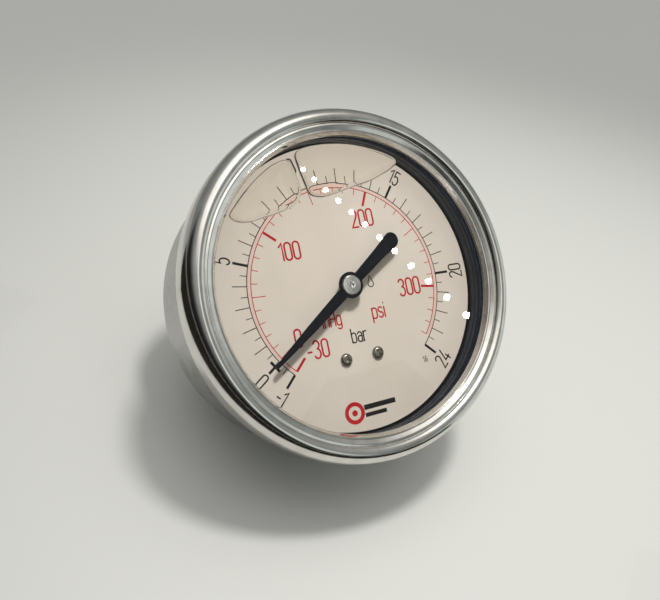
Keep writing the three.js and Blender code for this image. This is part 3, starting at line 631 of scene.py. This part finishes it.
class Print:
    """Collects flat raised marks of one ink into one mesh."""

    def __init__(self, height):
        self.vertices = []
        self.faces = []
        self.height = height
        self.marks = 0

    def ribbon(self, left, right, closed=False):
        """Raised strip between two rows of (x, z) points."""
        # Each mark stands a hair prouder than the last, so marks that cross don't share a plane.
        front = DIAL["front"] - self.height - 0.0002 * (self.marks % 40)
        back = DIAL["front"] + 0.01
        self.marks += 1
        start = len(self.vertices)
        count = len(left)
        for y in (front, back):
            for row in (left, right):
                self.vertices.extend((point[0], y, point[1]) for point in row)
        pairs = list(zip(range(count), range(1, count))) + ([(count - 1, 0)] if closed else [])
        for one, two in pairs:
            fl, fr, bl, br = (start + count * part for part in range(4))
            self.faces.append([fl + one, fl + two, fr + two, fr + one])
            self.faces.append([bl + one, br + one, br + two, bl + two])
            self.faces.append([fl + one, bl + one, bl + two, fl + two])
            self.faces.append([fr + one, fr + two, br + two, br + one])
        if not closed:
            for end in (0, count - 1):
                self.faces.append([start + end + count * part for part in (0, 1, 3, 2)])

    def stroke(self, points, width, closed=False, caps=True):
        """Line of a pen along (x, z) points, with round ends."""
        points = [Vector(point) for point in points]
        count = len(points)
        left = []
        right = []
        for index, point in enumerate(points):
            before = points[index - 1] if index or closed else None
            after = points[(index + 1) % count] if index < count - 1 or closed else None
            into = (point - before).normalized() if before else (after - point).normalized()
            out = (after - point).normalized() if after else into
            along = (into + out).normalized() if (into + out).length > 1e-6 else into
            side = Vector((-along.y, along.x))
            stretch = min(1.6, 1 / max(0.3, side.dot(Vector((-into.y, into.x)))))
            left.append(point + side * width / 2 * stretch)
            right.append(point - side * width / 2 * stretch)
        if caps and not closed:
            steps = 4
            for end in (0, count - 1):
                inward = (points[1] - points[0]) if end == 0 else (points[-2] - points[-1])
                outward = -inward.normalized()
                across = (left[end] - right[end]) / 2
                for step in range(1, steps + 1):
                    turn = math.pi / 2 * step / steps
                    half = across * max(math.cos(turn), 0.03)
                    reach = points[end] + outward * width / 2 * math.sin(turn)
                    # The rows grow at their first point or past their last one.
                    at = 0 if end == 0 else len(left)
                    left.insert(at, reach + half)
                    right.insert(at, reach - half)
        self.ribbon(left, right, closed)

    def tick(self, inner, outer, angle, width):
        """Radial line between two radii."""
        self.stroke([on_dial(inner, angle), on_dial(outer, angle)], width, caps=False)

    def arc(self, radius, first, last, width):
        """Part of a circle between two dial angles."""
        count = max(2, int(abs(last - first) / 1.35))
        angles = [first + (last - first) * step / count for step in range(count + 1)]
        left = [on_dial(radius + width / 2, angle) for angle in angles]
        right = [on_dial(radius - width / 2, angle) for angle in angles]
        self.ribbon(left, right)

    def loop(self, centre, radius, width, sides=48):
        """Closed ring of a pen's width."""
        points = [Vector(centre) + on_dial(radius, 360 * side / sides) for side in range(sides)]
        self.stroke(points, width, closed=True)

    def text(self, words, centre, height, weight, turn=0.0, spacing=0.13):
        """Word in the plain line lettering below, centred on a point and turned clockwise by an angle."""
        glyphs = [GLYPHS[letter] for letter in words]
        length = sum(width for width, _ in glyphs) + spacing * (len(glyphs) - 1)
        angle = math.radians(turn)
        right = Vector((math.cos(angle), -math.sin(angle))) * height
        up = Vector((math.sin(angle), math.cos(angle))) * height
        x = -length / 2
        for width, strokes in glyphs:
            for points, closed in strokes:
                placed = [Vector(centre) + right * (x + px) + up * (py - 0.5) for px, py in points]
                self.stroke(placed, weight, closed)
            x += width + spacing

    def done(self, name, material):
        made = piece(name, self.vertices, self.faces, material, 50)
        return ride(made, "case", "black_enamel" if "black" in name else "cream_enamel")


def bow(cx, cy, rx, ry, start, end, steps=10):
    """Part of an ellipse in a letter's own square, angles anticlockwise from the right."""
    count = max(2, round(abs(end - start) / 180 * steps))
    angles = [math.radians(start + (end - start) * step / count) for step in range(count + 1)]
    return [(cx + rx * math.cos(angle), cy + ry * math.sin(angle)) for angle in angles]


def letter(width, *strokes):
    """A letter is its width and its pen strokes. A stroke that ends where it began is closed."""
    drawn = []
    for stroke in strokes:
        closed = math.dist(stroke[0], stroke[-1]) < 1e-6
        drawn.append((stroke[:-1] if closed else stroke, closed))
    return width, drawn


def oval(cx, low, high, rx):
    """Closed upright oval with straight sides."""
    return bow(cx, high - rx, rx, rx, 0, 180) + bow(cx, low + rx, rx, rx, 180, 360) + [(cx + rx, high - rx)]


# Narrow line lettering of the round-ended engineering kind. Letters stand on 0 and capitals reach 1.
LOW = 0.70                   # height of small letters
GLYPHS = {
    "0": letter(0.38, oval(0.19, 0, 1, 0.19)),
    "1": letter(0.20, [(0.0, 0.80), (0.19, 1.0), (0.19, 0.0)]),
    "2": letter(0.38, bow(0.19, 0.80, 0.19, 0.20, 165, -20) + [(0.33, 0.62), (0.0, 0.0), (0.39, 0.0)]),
    "3": letter(0.38, bow(0.18, 0.775, 0.18, 0.225, 155, -75), bow(0.18, 0.275, 0.20, 0.275, 80, -155)),
    "4": letter(0.42, [(0.27, 1.0), (0.0, 0.24), (0.43, 0.24)], [(0.31, 0.46), (0.31, 0.0)]),
    "5": letter(0.38, [(0.35, 1.0), (0.05, 1.0), (0.03, 0.55)] + bow(0.18, 0.325, 0.20, 0.325, 125, -150)),
    "6": letter(0.38, bow(0.19, 0.28, 0.19, 0.28, 0, 360),
                [(0.0, 0.3)] + bow(0.19, 0.78, 0.19, 0.22, 180, 35)),
    "-": letter(0.24, [(0.0, 0.42), (0.24, 0.42)]),
    ".": letter(0.04, [(0.0, 0.0), (0.04, 0.0)]),
    "a": letter(0.34, bow(0.17, LOW - 0.18, 0.17, 0.18, 155, 0) + [(0.34, 0.0)],
                [(0.34, 0.42)] + bow(0.16, 0.21, 0.16, 0.21, 90, 270) + [(0.34, 0.07)]),
    "b": letter(0.35, [(0.0, 1.0), (0.0, 0.0)], oval(0.175, 0, LOW, 0.175)),
    "g": letter(0.35, oval(0.175, 0, LOW, 0.175),
                [(0.35, LOW), (0.35, -0.08)] + bow(0.175, -0.1, 0.175, 0.17, 0, -150)),
    "H": letter(0.38, [(0.0, 0.0), (0.0, 1.0)], [(0.38, 0.0), (0.38, 1.0)], [(0.0, 0.52), (0.38, 0.52)]),
    "i": letter(0.02, [(0.01, 0.0), (0.01, LOW)], [(0.01, 0.93), (0.01, 0.96)]),
    "n": letter(0.34, [(0.0, 0.0), (0.0, LOW)],
                [(0.0, 0.5)] + bow(0.17, LOW - 0.18, 0.17, 0.18, 180, 0) + [(0.34, 0.0)]),
    "p": letter(0.35, [(0.0, LOW), (0.0, -0.27)], oval(0.175, 0, LOW, 0.175)),
    "r": letter(0.24, [(0.0, 0.0), (0.0, LOW)], bow(0.19, LOW - 0.21, 0.19, 0.21, 180, 70)),
    "s": letter(0.32, bow(0.16, LOW - 0.17, 0.155, 0.17, 35, 270) + bow(0.16, 0.18, 0.16, 0.18, 90, -150)),
}


def make_dial():
    """Enamelled dial with its two screw holes."""
    back = DIAL["front"] + DIAL["thickness"]
    made = lathed("dial_face", DIAL_WHITE, ROUND, [
        (DIAL["bore"], DIAL["front"], 0.08), (DIAL["radius"], DIAL["front"], 0.12),
        (DIAL["radius"], back, 0.12), (DIAL["bore"], back, 0.08),
    ])
    combine(made, [rod(0.9, DIAL["front"] - 1, back + 1, x, z) for x, z in DIAL_SCREWS])
    return ride(made, "case", "cream_enamel", "dial_plate")


def make_field():
    """Faint four-sided field round the maker's space, raised a hair and a shade darker than the dial."""
    outline = [(-15.3, -23.2), (-8.6, -17.2), (8.9, -16.6), (14.6, -23.6)]
    outline += [tuple(on_dial(28.1, angle)) for angle in range(148, 213, 8)]
    made = flat_solid("dial_field", outline, DIAL["front"] - 0.012, 0.02, DIAL_DARKER_FIELD)
    return ride(made, "case", "cream_enamel")


def black_print():
    ink = Print(INK)
    arc = BLACK["arc"]
    ink.arc(arc, bar_angle(BAR_FIRST), bar_angle(BAR_LAST), BLACK["line"])
    for half in range((BAR_LAST - BAR_FIRST) * 2 + 1):
        bar = BAR_FIRST + half / 2
        if bar in (-1, 0, 5, 10, 15, 20, 24):
            ink.tick(arc, BLACK["long"], bar_angle(bar), LONG_TICK)
        elif bar == int(bar):
            ink.tick(arc, arc + BLACK["middle"], bar_angle(bar), BLACK["line"])
        else:
            ink.tick(arc, arc + BLACK["short"], bar_angle(bar), BLACK["thin"])
    # Bar across the zero mark.
    middle = on_dial(22.0, bar_angle(0))
    across = on_dial(1.25, bar_angle(0) + 90)
    ink.stroke([middle - across, middle + across], 0.55, caps=False)
    # The numerals of the lower half stand the other way up.
    for bars, turn in (((5, 10, 15), 0), ((20, 24, 0, -1), 180)):
        for bar in bars:
            place = on_dial(BLACK["numerals"], bar_angle(bar))
            ink.text(str(bar), place, BLACK["height"], BLACK["pen"], bar_angle(bar) + turn)
    ink.text("bar", (0.27, -9.83), 2.75, 0.27)
    ink.text("1.6", (14.0, -17.5), 1.1, 0.13)
    # Plain outlined drop beside the hub.
    belly = [Vector((5.25, -0.35)) - on_dial(0.62, angle) for angle in range(-115, 116, 23)]
    ink.stroke([(5.25, 1.35), *belly], 0.2, closed=True)
    # Plain bars in the maker's space.
    for right_end, height, width in ((5.2, -23.9, 1.0), (2.9, -25.4, 0.8)):
        ink.stroke([(-1.9, height), (right_end, height)], width, caps=False)
    return ink.done("dial_print_black", INK_BLACK)


def red_print():
    ink = Print(INK)
    arc = RED["arc"]
    ink.arc(arc, bar_angle(BAR_FIRST), psi_angle(LAST_PSI), RED["line"])
    ink.tick(RED["long"], arc, bar_angle(BAR_FIRST), LONG_TICK)
    for psi in range(0, LAST_PSI + 1, 10):
        if psi % 100 == 0:
            ink.tick(RED["long"], arc, psi_angle(psi), LONG_TICK)
        elif psi % 50 == 0:
            ink.tick(arc - RED["middle"], arc, psi_angle(psi), RED["line"])
        else:
            ink.tick(arc - RED["short"], arc, psi_angle(psi), RED["thin"])
    numerals = (("100", 13.65, -51), ("200", 14.45, 26), ("300", 14.1, 99.4), ("-30", 14.1, -140.6),
                ("0", 14.9, -122.8))
    for words, radius, angle in numerals:
        ink.text(words, on_dial(radius, angle), RED["height"], RED["pen"], spacing=0.14)
    ink.text("psi", (5.63, -5.86), 3.0, 0.3)
    ink.text("inHg", (-4.9, -5.84), 2.7, 0.28)
    # Plain ring and dot in the maker's space.
    ink.loop((-4.1, -24.5), 1.75, 0.8)
    ink.loop((-4.1, -24.5), 0.3, 0.6, 24)
    return ink.done("dial_print_red", INK_RED)


def pink_print():
    """Pale band between the two scales' arcs."""
    ink = Print(INK * 0.5)
    middle = (BLACK["arc"] + RED["arc"]) / 2
    width = BLACK["arc"] - RED["arc"] - RED["line"]
    ink.arc(middle, bar_angle(BAR_FIRST), psi_angle(LAST_PSI), width)
    return ink.done("dial_print_pink", INK_PINK)


def make_dial_screw(name, x, z, node):
    """Pan-headed screw with a cross recess."""
    seat = DIAL["front"] - 0.1
    made = lathed(name, DULL_METAL, FINE, [
        (0, seat - 0.72), (0.85, seat - 0.68, 0.4), (1.2, seat - 0.4, 0.25), (1.25, seat, 0.05),
        (0.7, seat, 0.05), (0.7, seat + 1.6, 0.1), (0, seat + 1.6),
    ], closed=False)
    recess = [box(1.6, 1.1, 0.42, (0, seat - 0.7, 0)), box(0.42, 1.1, 1.6, (0, seat - 0.7, 0))]
    cone = [(0, seat - 1.2), (0.72, seat - 1.2), (0.3, seat - 0.1), (0, seat - 0.1)]
    well = turned("well", cone, None, 24, closed=False)
    combine(made, [*recess, well])
    shifted(spun(made, 28 if x < 0 else 61), x, 0, z)
    return ride(made, "case", "pale_metal", node)


# ------------------------ pointer


def make_blade():
    """Black pointer: a slim blade with a round tip, a hub disc, and a tail that widens to a round end."""
    # One side as (distance along the blade, half width), from the tip round the hub to the tail's end.
    side = [(22.5, 0.0), (22.42, 0.2), (22.1, 0.38), (19.3, 0.55), (12.0, 0.89), (3.9, 1.1)]
    for turn in (math.radians(angle) for angle in range(25, 158, 6)):
        side.append((BLADE["hub"] * math.cos(turn), BLADE["hub"] * math.sin(turn)))
    side += [(-9.3, 1.28), (-13.2, BLADE["tail"])]
    for turn in (math.radians(angle) for angle in range(12, 90, 12)):
        side.append((-13.3 - BLADE["tail"] * math.sin(turn), BLADE["tail"] * math.cos(turn)))
    side.append((-13.3 - BLADE["tail"], 0.0))
    outline = side + [(u, -v) for u, v in side[-2:0:-1]]
    along = on_dial(1, ZERO_ANGLE)
    across = on_dial(1, ZERO_ANGLE + 90)
    points = [along * u + across * v for u, v in outline]
    made = flat_solid("pointer", points, BLADE["front"], BLADE["thickness"], POINTER_BLACK, 0.07)
    combine(made, [rod(BLADE["hole"], BLADE["front"] - 1, BLADE["front"] + 1)], sharp=40)
    return ride(made, "pointer", "black_enamel", "pointer_blade")


def make_hub():
    """Bright bushing: a slightly coned, turned disc with a dimple, on a shank that grips the arbor."""
    front = HUB["front"]
    under = BLADE["front"] - 0.08
    behind = BLADE["front"] + BLADE["thickness"] + 0.1
    made = lathed("pointer_hub", HUB_METAL, 64, [
        (0, front + 0.55), (0.34, front + 0.35, 0.1), (0.5, front + 0.03, 0.05), (0.8, front, 0.2),
        (1.8, front + 0.03, 0.1), (HUB["radius"], front + 0.2, 0.1), (HUB["radius"], under, 0.05),
        (1.2, under, 0.04), (1.2, behind, 0.04), (1.6, behind, 0.05), (1.4, -45.7, 0.1),
        (0.64, -45.7), (0.64, front + 0.8), (0, front + 0.8),
    ], closed=False, sharp=24)
    return ride(made, "pointer", "pale_metal", "pointer_bushing")


# ------------------------ stem, screws and tube

THREAD = {"major": 6.58, "minor": 5.72, "pitch": 1.337, "start": -0.9, "end": -10.6}
SQUARE = {"width": 14.0, "corner": 9.2, "start": -13.0, "end": -23.0}
POST = {"angle": 225, "inner": 16.8, "outer": 23.2, "half": 4.2, "back": -25.0, "front": -41.0}


def make_stem():
    """Brass stem and socket in one: pilot, thread, undercut, square, neck, flange and the tube's post."""
    front_part = rounded([
        (0, -20.0), (1.6, -20.0, 0.2), (1.6, 2.0, 0.2), (2.5, 2.0, 0.3), (2.5, 0.0, 0.15), (4.7, 0.0, 0.2),
        (4.9, -0.05),
    ], closed=False)
    rows = int((THREAD["start"] - THREAD["end"]) / (THREAD["pitch"] / 16))
    thread_rows = [(THREAD["minor"], THREAD["start"] + (THREAD["end"] - THREAD["start"]) * row / rows)
                   for row in range(rows + 1)]
    corner, start, end = SQUARE["corner"], SQUARE["start"], SQUARE["end"]
    back_part = rounded([
        (5.4, -10.9), (5.4, start, 0.3), (7.9, start, 0.2), (corner, start - 0.75, 0.2),
        (corner, end + 0.75, 0.2), (7.9, end, 0.2), (7.0, end, 0.1), (7.0, -25.0, 0.1), (14.0, -25.0, 0.3),
        (14.0, -28.5, 0.3), (8.0, -28.5, 0.1), (8.0, -32.2, 0.3), (0, -32.2),
    ], closed=False)
    profile = [*front_part, *thread_rows, *back_part]
    first = len(front_part)

    def radius_at(index, angle):
        radius, y = profile[index]
        if not first <= index < first + rows + 1:
            return radius
        turn = ((y / THREAD["pitch"] - angle / (2 * math.pi)) % 1.0)
        # Flanks at a steady slope between a rounded root and a rounded crest.
        wave = min(1.0, max(0.0, 1.12 * (1 - abs(2 * turn - 1)) - 0.06))
        cut = THREAD["minor"] + (THREAD["major"] - THREAD["minor"]) * wave
        lead_in = 4.95 + (THREAD["start"] + 0.85 - y) * 1.6
        run_out = 5.4 + (y - THREAD["end"]) * 1.4
        return max(min(cut, lead_in, max(run_out, 5.4)), 4.9)

    made = turned("stem_and_socket", profile, BRASS, MIDDLE, closed=False, radius_at=radius_at)
    middle = (start + end) / 2
    length = start - end + 0.2
    sides = [side * (SQUARE["width"] / 2 + 2) for side in (-1, 1)]
    flats = [box(4, length, 40, (side, middle, 0)) for side in sides]
    flats += [box(40, length, 4, (0, middle, side)) for side in sides]
    combine(made, flats)
    arm = box(POST["half"] * 2, 3.5, POST["outer"] - 5, (0, -26.75, POST["outer"] / 2 + 2.5))
    post = box(POST["half"] * 2, POST["back"] - POST["front"], POST["outer"] - POST["inner"],
               (0, (POST["back"] + POST["front"]) / 2, (POST["outer"] + POST["inner"]) / 2))
    for block in (arm, post):
        spun(block, POST["angle"])
    combine(made, [arm, post], "UNION")
    pocket = box(6, TUBE["width"] + 0.5, TUBE["thickness"] + 1.1, (2, TUBE["y"], TUBE["radius"] - 0.2))
    spun(pocket, POST["angle"])
    groove = turned("groove", [(8.0, -24.0), (10.0, -24.0), (10.0, -26.8), (8.0, -26.8)], None, MIDDLE)
    holes = [rod(1.4, -24, -29.5, x, 0, 24) for x in (-CASE_SCREW_X, CASE_SCREW_X)]
    holes += [rod(1.0, -33.5, -29.8, x, -4.6, 24) for x in (-5.2, 5.2)]
    combine(made, [pocket, groove, *holes])
    return ride(made, "case", "brass", "socket_stem")


def make_case_screw(name, x, node, turn):
    """Slotted cheese-head screw in the case's back, head towards +Y."""
    seat = CASE["back"] + 0.2
    made = lathed(name, PALE_METAL, FINE, [
        (0, seat + 1.4), (2.1, seat + 1.4, 0.4), (2.1, seat, 0.05), (1.2, seat, 0.05),
        (1.2, seat - 4.2, 0.15), (0, seat - 4.2),
    ], closed=False)
    combine(made, [box(5, 1.3, 0.6, (0, seat + 1.4, 0))])
    shifted(spun(made, turn), x, 0, 0)
    return ride(made, "case", "pale_metal", node)


def make_tube():
    """Bourdon tube: a flat oval tube bent to a C. Its free end swings with the end cap in the gauge, but this
    mesh is built at rest and doesn't move.
    """
    steps = 140
    ring = []
    cap = TUBE["thickness"] / 2
    reach = TUBE["width"] / 2 - cap
    for side, start in ((1, -90), (-1, 90)):
        for step in range(9):
            angle = math.radians(start + 180 * step / 8)
            ring.append((side * reach + cap * math.cos(angle), cap * math.sin(angle)))
    vertices = []
    for step in range(steps + 1):
        out = on_dial(1, TUBE["root"] + (TUBE["tip"] - TUBE["root"]) * step / steps)
        for depth, off in ring:
            here = out * (TUBE["radius"] + off)
            vertices.append((here.x, TUBE["y"] + depth, here.y))
    size = len(ring)
    rows = [list(range(row * size, row * size + size)) for row in range(steps + 1)]
    made = piece("bent_tube", vertices, strips(rows) + [rows[0], rows[-1]], BRONZE, 40)
    depth = TUBE["y"] * MM
    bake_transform(made)
    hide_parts("bourdon_tube")
    return made


# ------------------------ assembly

make_case()
make_ring()
make_window()
make_gasket()
make_plug()
make_liquid()
make_dial()
make_field()
black_print()
red_print()
pink_print()
make_dial_screw("dial_screw_1", *DIAL_SCREWS[0], "dial_screw_left")
make_dial_screw("dial_screw_2", *DIAL_SCREWS[1], "dial_screw_right")
make_blade()
make_hub()
make_stem()
make_case_screw("case_screw_1", -CASE_SCREW_X, "case_screw_left", 25)
make_case_screw("case_screw_2", CASE_SCREW_X, "case_screw_right", 140)
make_tube()

SLOT_LOOKS = {
    "satin_steel": CASE_STEEL, "polished_steel": RING_STEEL, "window": WINDOW_CLEAR,
    "black_rubber": PLUG_RUBBER, "brass": BRASS, "bronze": BRONZE, "pale_metal": PALE_METAL,
    "black_enamel": POINTER_BLACK, "cream_enamel": DIAL_WHITE,
}
for subpart in frame["record"]["subparts"]:
    node = frame["nodes"][subpart["node"]]
    node.data.materials.clear()
    node.data.materials.append(SLOT_LOOKS[subpart["material_slot"]])

# ------------------------ floor, light and camera

FLOOR_UP = Vector((0.004, -0.719, 0.695)).normalized()
# Directions along the floor: towards the viewer, and to the viewer's right.
FLOOR_NEAR = Vector((-0.562, -0.576, -0.593))
FLOOR_NEAR = (FLOOR_NEAR - FLOOR_UP * FLOOR_NEAR.dot(FLOOR_UP)).normalized()
FLOOR_RIGHT = FLOOR_UP.cross(FLOOR_NEAR)


def along_floor(azimuth):
    """Direction along the floor, in degrees to the right of the one towards the viewer."""
    turn = math.radians(azimuth)
    return FLOOR_NEAR * math.cos(turn) + FLOOR_RIGHT * math.sin(turn)


def floor_height(*pieces):
    """Height of the floor along FLOOR_UP, so that the lowest of these pieces stand on it."""
    return min(FLOOR_UP.dot(corner.co) for made in pieces for corner in made.data.vertices)


def stage_disc(name, radius_m, centre_m, facing, material, segments=96):
    """Flat disc of the stage that faces a direction, in metres."""
    turn = facing.to_track_quat("Z", "Y").to_matrix().to_4x4()
    corners = [Vector((math.cos(a), math.sin(a), 0)) * radius_m
               for a in (2 * math.pi * s / segments for s in range(segments))]
    made = raw_piece(name, [turn @ corner for corner in corners], [list(range(segments))], material)
    made.location = centre_m
    return made


def floor_look():
    """Pale table top with a faint unevenness. It shows from above only, so that low views see past it."""
    look = Nodes("table_top")
    cloud = look.noise(look.place(), 0.004, 2.0)
    tone = look.ramp(cloud, (0.74, 0.74, 0.71), (0.77, 0.77, 0.745), 0.3, 0.7)
    look.feed(look.shader, {"Base Color": tone, "Roughness": 0.55})
    from_below = look.new("ShaderNodeNewGeometry", {}, "Backfacing")
    through = look.new("ShaderNodeBsdfTransparent", {})
    return look.show(look.mixed(from_below, look.shader.outputs[0], through))


def glow(name, colour, strength):
    look = Nodes(name)
    return look.show(look.new("ShaderNodeEmission", {"Color": (*colour, 1), "Strength": strength}))


def seen_in_reflections_only(made):
    made.visible_camera = False
    made.visible_diffuse = False
    made.visible_shadow = False
    made.visible_transmission = False


def collected(name, pieces):
    """Collection that names the pieces a lamp lights, or the ones that shade it."""
    made = bpy.data.collections.new(name)
    for item in pieces:
        made.objects.link(item)
    return made


KEY = {"towards": (0.12, -0.743, 0.647), "distance": 520, "radius": 40, "cone": 48, "pool": 71}


def key_light(name, floor_at, energy, lit, shading):
    """Shaded lamp above the gauge. Its soft pool of light is centred on the table to the gauge's right."""
    lamp = bpy.data.lights.new(name, "SPOT")
    lamp.shadow_soft_size = KEY["radius"] * MM
    lamp.spot_size = math.radians(KEY["cone"])
    lamp.spot_blend = 1.0
    lamp.energy = energy
    lamp.color = (1.0, 0.985, 0.95)
    made = placed(name, lamp)
    made.location = (Vector((0, -35, 0)) + Vector(KEY["towards"]).normalized() * KEY["distance"]) * MM
    pool = FLOOR_UP * floor_at + FLOOR_RIGHT * KEY["pool"] * MM
    made.rotation_euler = (made.location - pool).to_track_quat("Z", "Y").to_euler()
    # Its light already passes straight through the window, so it is not let in a second time by refraction.
    made.visible_transmission = False
    made.light_linking.receiver_collection = collected(name + "_lights", lit)
    made.light_linking.blocker_collection = collected(name + "_is_shaded_by", shading)


def room_look():
    """Room as the steel mirrors it: bright ceiling, pale right side, and a dark side behind the viewer."""
    look = Nodes("room", "worlds", "Background")
    bpy.context.scene.world = look.owner
    direction = look.new("ShaderNodeTexCoord", {}, "Generated")

    def along(axis):
        return look.new("ShaderNodeVectorMath", {0: direction, 1: axis}, "Value", operation="DOT_PRODUCT")

    def step(value, low_at, high_at, low, high):
        return look.ramp(value, low, high, low_at, high_at, "SMOOTHSTEP")

    def product(first, second):
        return look.math("MULTIPLY", first, second)

    height = along(FLOOR_UP)
    walls = step(height, 0.34, 0.90, 0.22, 0.40)
    ceiling = step(height, 0.82, 0.95, 0.0, 0.95)
    on_right, behind_viewer, to_strip, across_strip = (along(along_floor(a)) for a in (100, -20, 50, 140))
    right_side = product(step(on_right, 0.80, 0.96, 0.0, 0.6), step(height, 0.42, 0.62, 1.0, 0.0))
    light = look.math("ADD", look.math("ADD", walls, ceiling), right_side)
    dark_side = product(step(behind_viewer, 0.12, 0.35, 0.0, 1.0), step(height, 0.3, 0.8, 1.0, 0.0))
    light = product(light, look.math("SUBTRACT", 1.0, product(dark_side, 0.93)))
    # Upright bright strip of a window at the dark side's right end.
    beside = look.math("ABSOLUTE", across_strip)
    ahead = product(step(to_strip, 0.2, 0.4, 0.0, 1.0), step(height, 0.05, 0.3, 0.0, 1.0))
    light = look.math("ADD", light, product(step(beside, 0.08, 0.17, 0.7, 0.0), ahead))
    # The eye itself sees an even room.
    eye = look.new("ShaderNodeLightPath", {}, "Is Camera Ray")
    look.feed(look.shader, {
        "Strength": look.new("ShaderNodeMix", {0: eye, 2: light, 3: 0.66}, data_type="FLOAT"),
        "Color": step(height, 0.55, 0.85, (0.93, 1.0, 0.985), (1.0, 0.985, 0.955)),
    })


def make_dark_edge(floor_at):
    """Dark sheet lying just above the table on the viewer's side, which only the steel mirrors: it darkens
    the steel's reflections that look that way.
    """
    steps = 40
    angles = [-104 + 180 * step / steps for step in range(steps + 1)]
    centre = Vector((0, -45 * MM, 0))
    foot = centre + FLOOR_UP * (floor_at - FLOOR_UP.dot(centre) + 0.0008)
    points = [along_floor(angle) * radius + foot for radius in (0.075, 0.9) for angle in angles]
    faces = [[index, index + 1, index + steps + 2, index + steps + 1] for index in range(steps)]
    made = raw_piece("dark_ground", points, faces, glow("dark_ground_glow", (0.02, 0.018, 0.015), 1.0))
    seen_in_reflections_only(made)


def make_lamp_row():
    """Straight row of small round lamps overhead to the right, which only the window mirrors.
    The row is laid out from the viewer's own mirror image behind the window, in metres."""
    mirrored_viewer = Vector((-0.067, 0.070, -0.008))
    first = Vector((0.438, -0.891, 0.2204)) * 2.0
    last = Vector((0.600, -0.821, -0.019)) * 1.46
    count = 12
    in_window = collected("lamps_show_in", [bpy.data.objects["window_pane"]])
    lamp_look = glow("lamp_glow", (1.0, 0.99, 0.96), 40.0)
    for index in range(count):
        towards = first.lerp(last, index / (count - 1))
        place = mirrored_viewer + towards
        lamp = stage_disc(f"lamp_{index + 1}", 0.0075, place, -towards.normalized(), lamp_look, 24)
        seen_in_reflections_only(lamp)
        lamp.light_linking.receiver_collection = in_window


def make_stage():
    floor_at = floor_height(bpy.data.objects["case_body"], bpy.data.objects["stem_and_socket"])
    stage_disc("floor", 6.0, FLOOR_UP * floor_at, FLOOR_UP, floor_look())     # 6 m in radius
    # The liquid bends the lamp's light round the ring and spreads it over the whole dial. Light doesn't bend
    # in this renderer's shadows, so the dial has a lamp of its own that only the pointer and screws shade.
    pieces = [item for item in bpy.context.scene.objects if item.type == "MESH"]
    make_dark_edge(floor_at)

    def called(*starts):
        return [item for item in pieces if item.name.startswith(starts)]

    dial_pieces = called("dial_", "window_seal")
    # The curved edges of the clear pieces would gather the lamp's light into patches on the dial.
    clear_pieces = called("window_pane", "filling_liquid")
    others = [item for item in pieces if item not in dial_pieces + clear_pieces]
    key_light("key_light", floor_at, energy=5.3, lit=others, shading=pieces)
    key_light("dial_light", floor_at, energy=7.8, lit=dial_pieces, shading=called("pointer", "dial_screw"))
    room_look()
    make_lamp_row()


def looking(azimuth, elevation):
    """Direction that is an azimuth to the right of +Y and an elevation above the level, in degrees."""
    turn = math.radians(azimuth)
    rise = math.radians(elevation)
    return Vector((math.sin(turn) * math.cos(rise), math.cos(turn) * math.cos(rise), math.sin(rise)))


CAMERA = {"aim": -53, "azimuth": 28.6, "elevation": 3.1, "distance": 140.9,
          "heading": 26.144, "pitch": 2.233, "roll": 11.878, "lens": 40.15}


def make_camera():
    """Camera in front of the gauge's left side, a little below its axis, and rolled clockwise."""
    to_aim = looking(CAMERA["azimuth"], CAMERA["elevation"]) * CAMERA["distance"]
    place = Vector((0, CAMERA["aim"], 0)) - to_aim
    forward = looking(CAMERA["heading"], CAMERA["pitch"])
    level = looking(CAMERA["heading"] + 90, 0)
    right = Matrix.Rotation(math.radians(CAMERA["roll"]), 3, forward) @ level
    lens = bpy.data.cameras.new("camera")
    lens.lens = CAMERA["lens"]
    lens.sensor_width = 36.0
    lens.sensor_fit = "HORIZONTAL"
    lens.clip_start = 0.005
    lens.clip_end = 20.0
    made = placed("camera", lens)
    turn = Matrix((right, right.cross(forward), -forward)).transposed().to_4x4()
    made.matrix_world = Matrix.Translation(place * MM) @ turn
    bpy.context.scene.camera = made


make_stage()
make_camera()
bpy.context.scene.view_settings.view_transform = "Standard"
bpy.context.scene.cycles.use_denoising = True
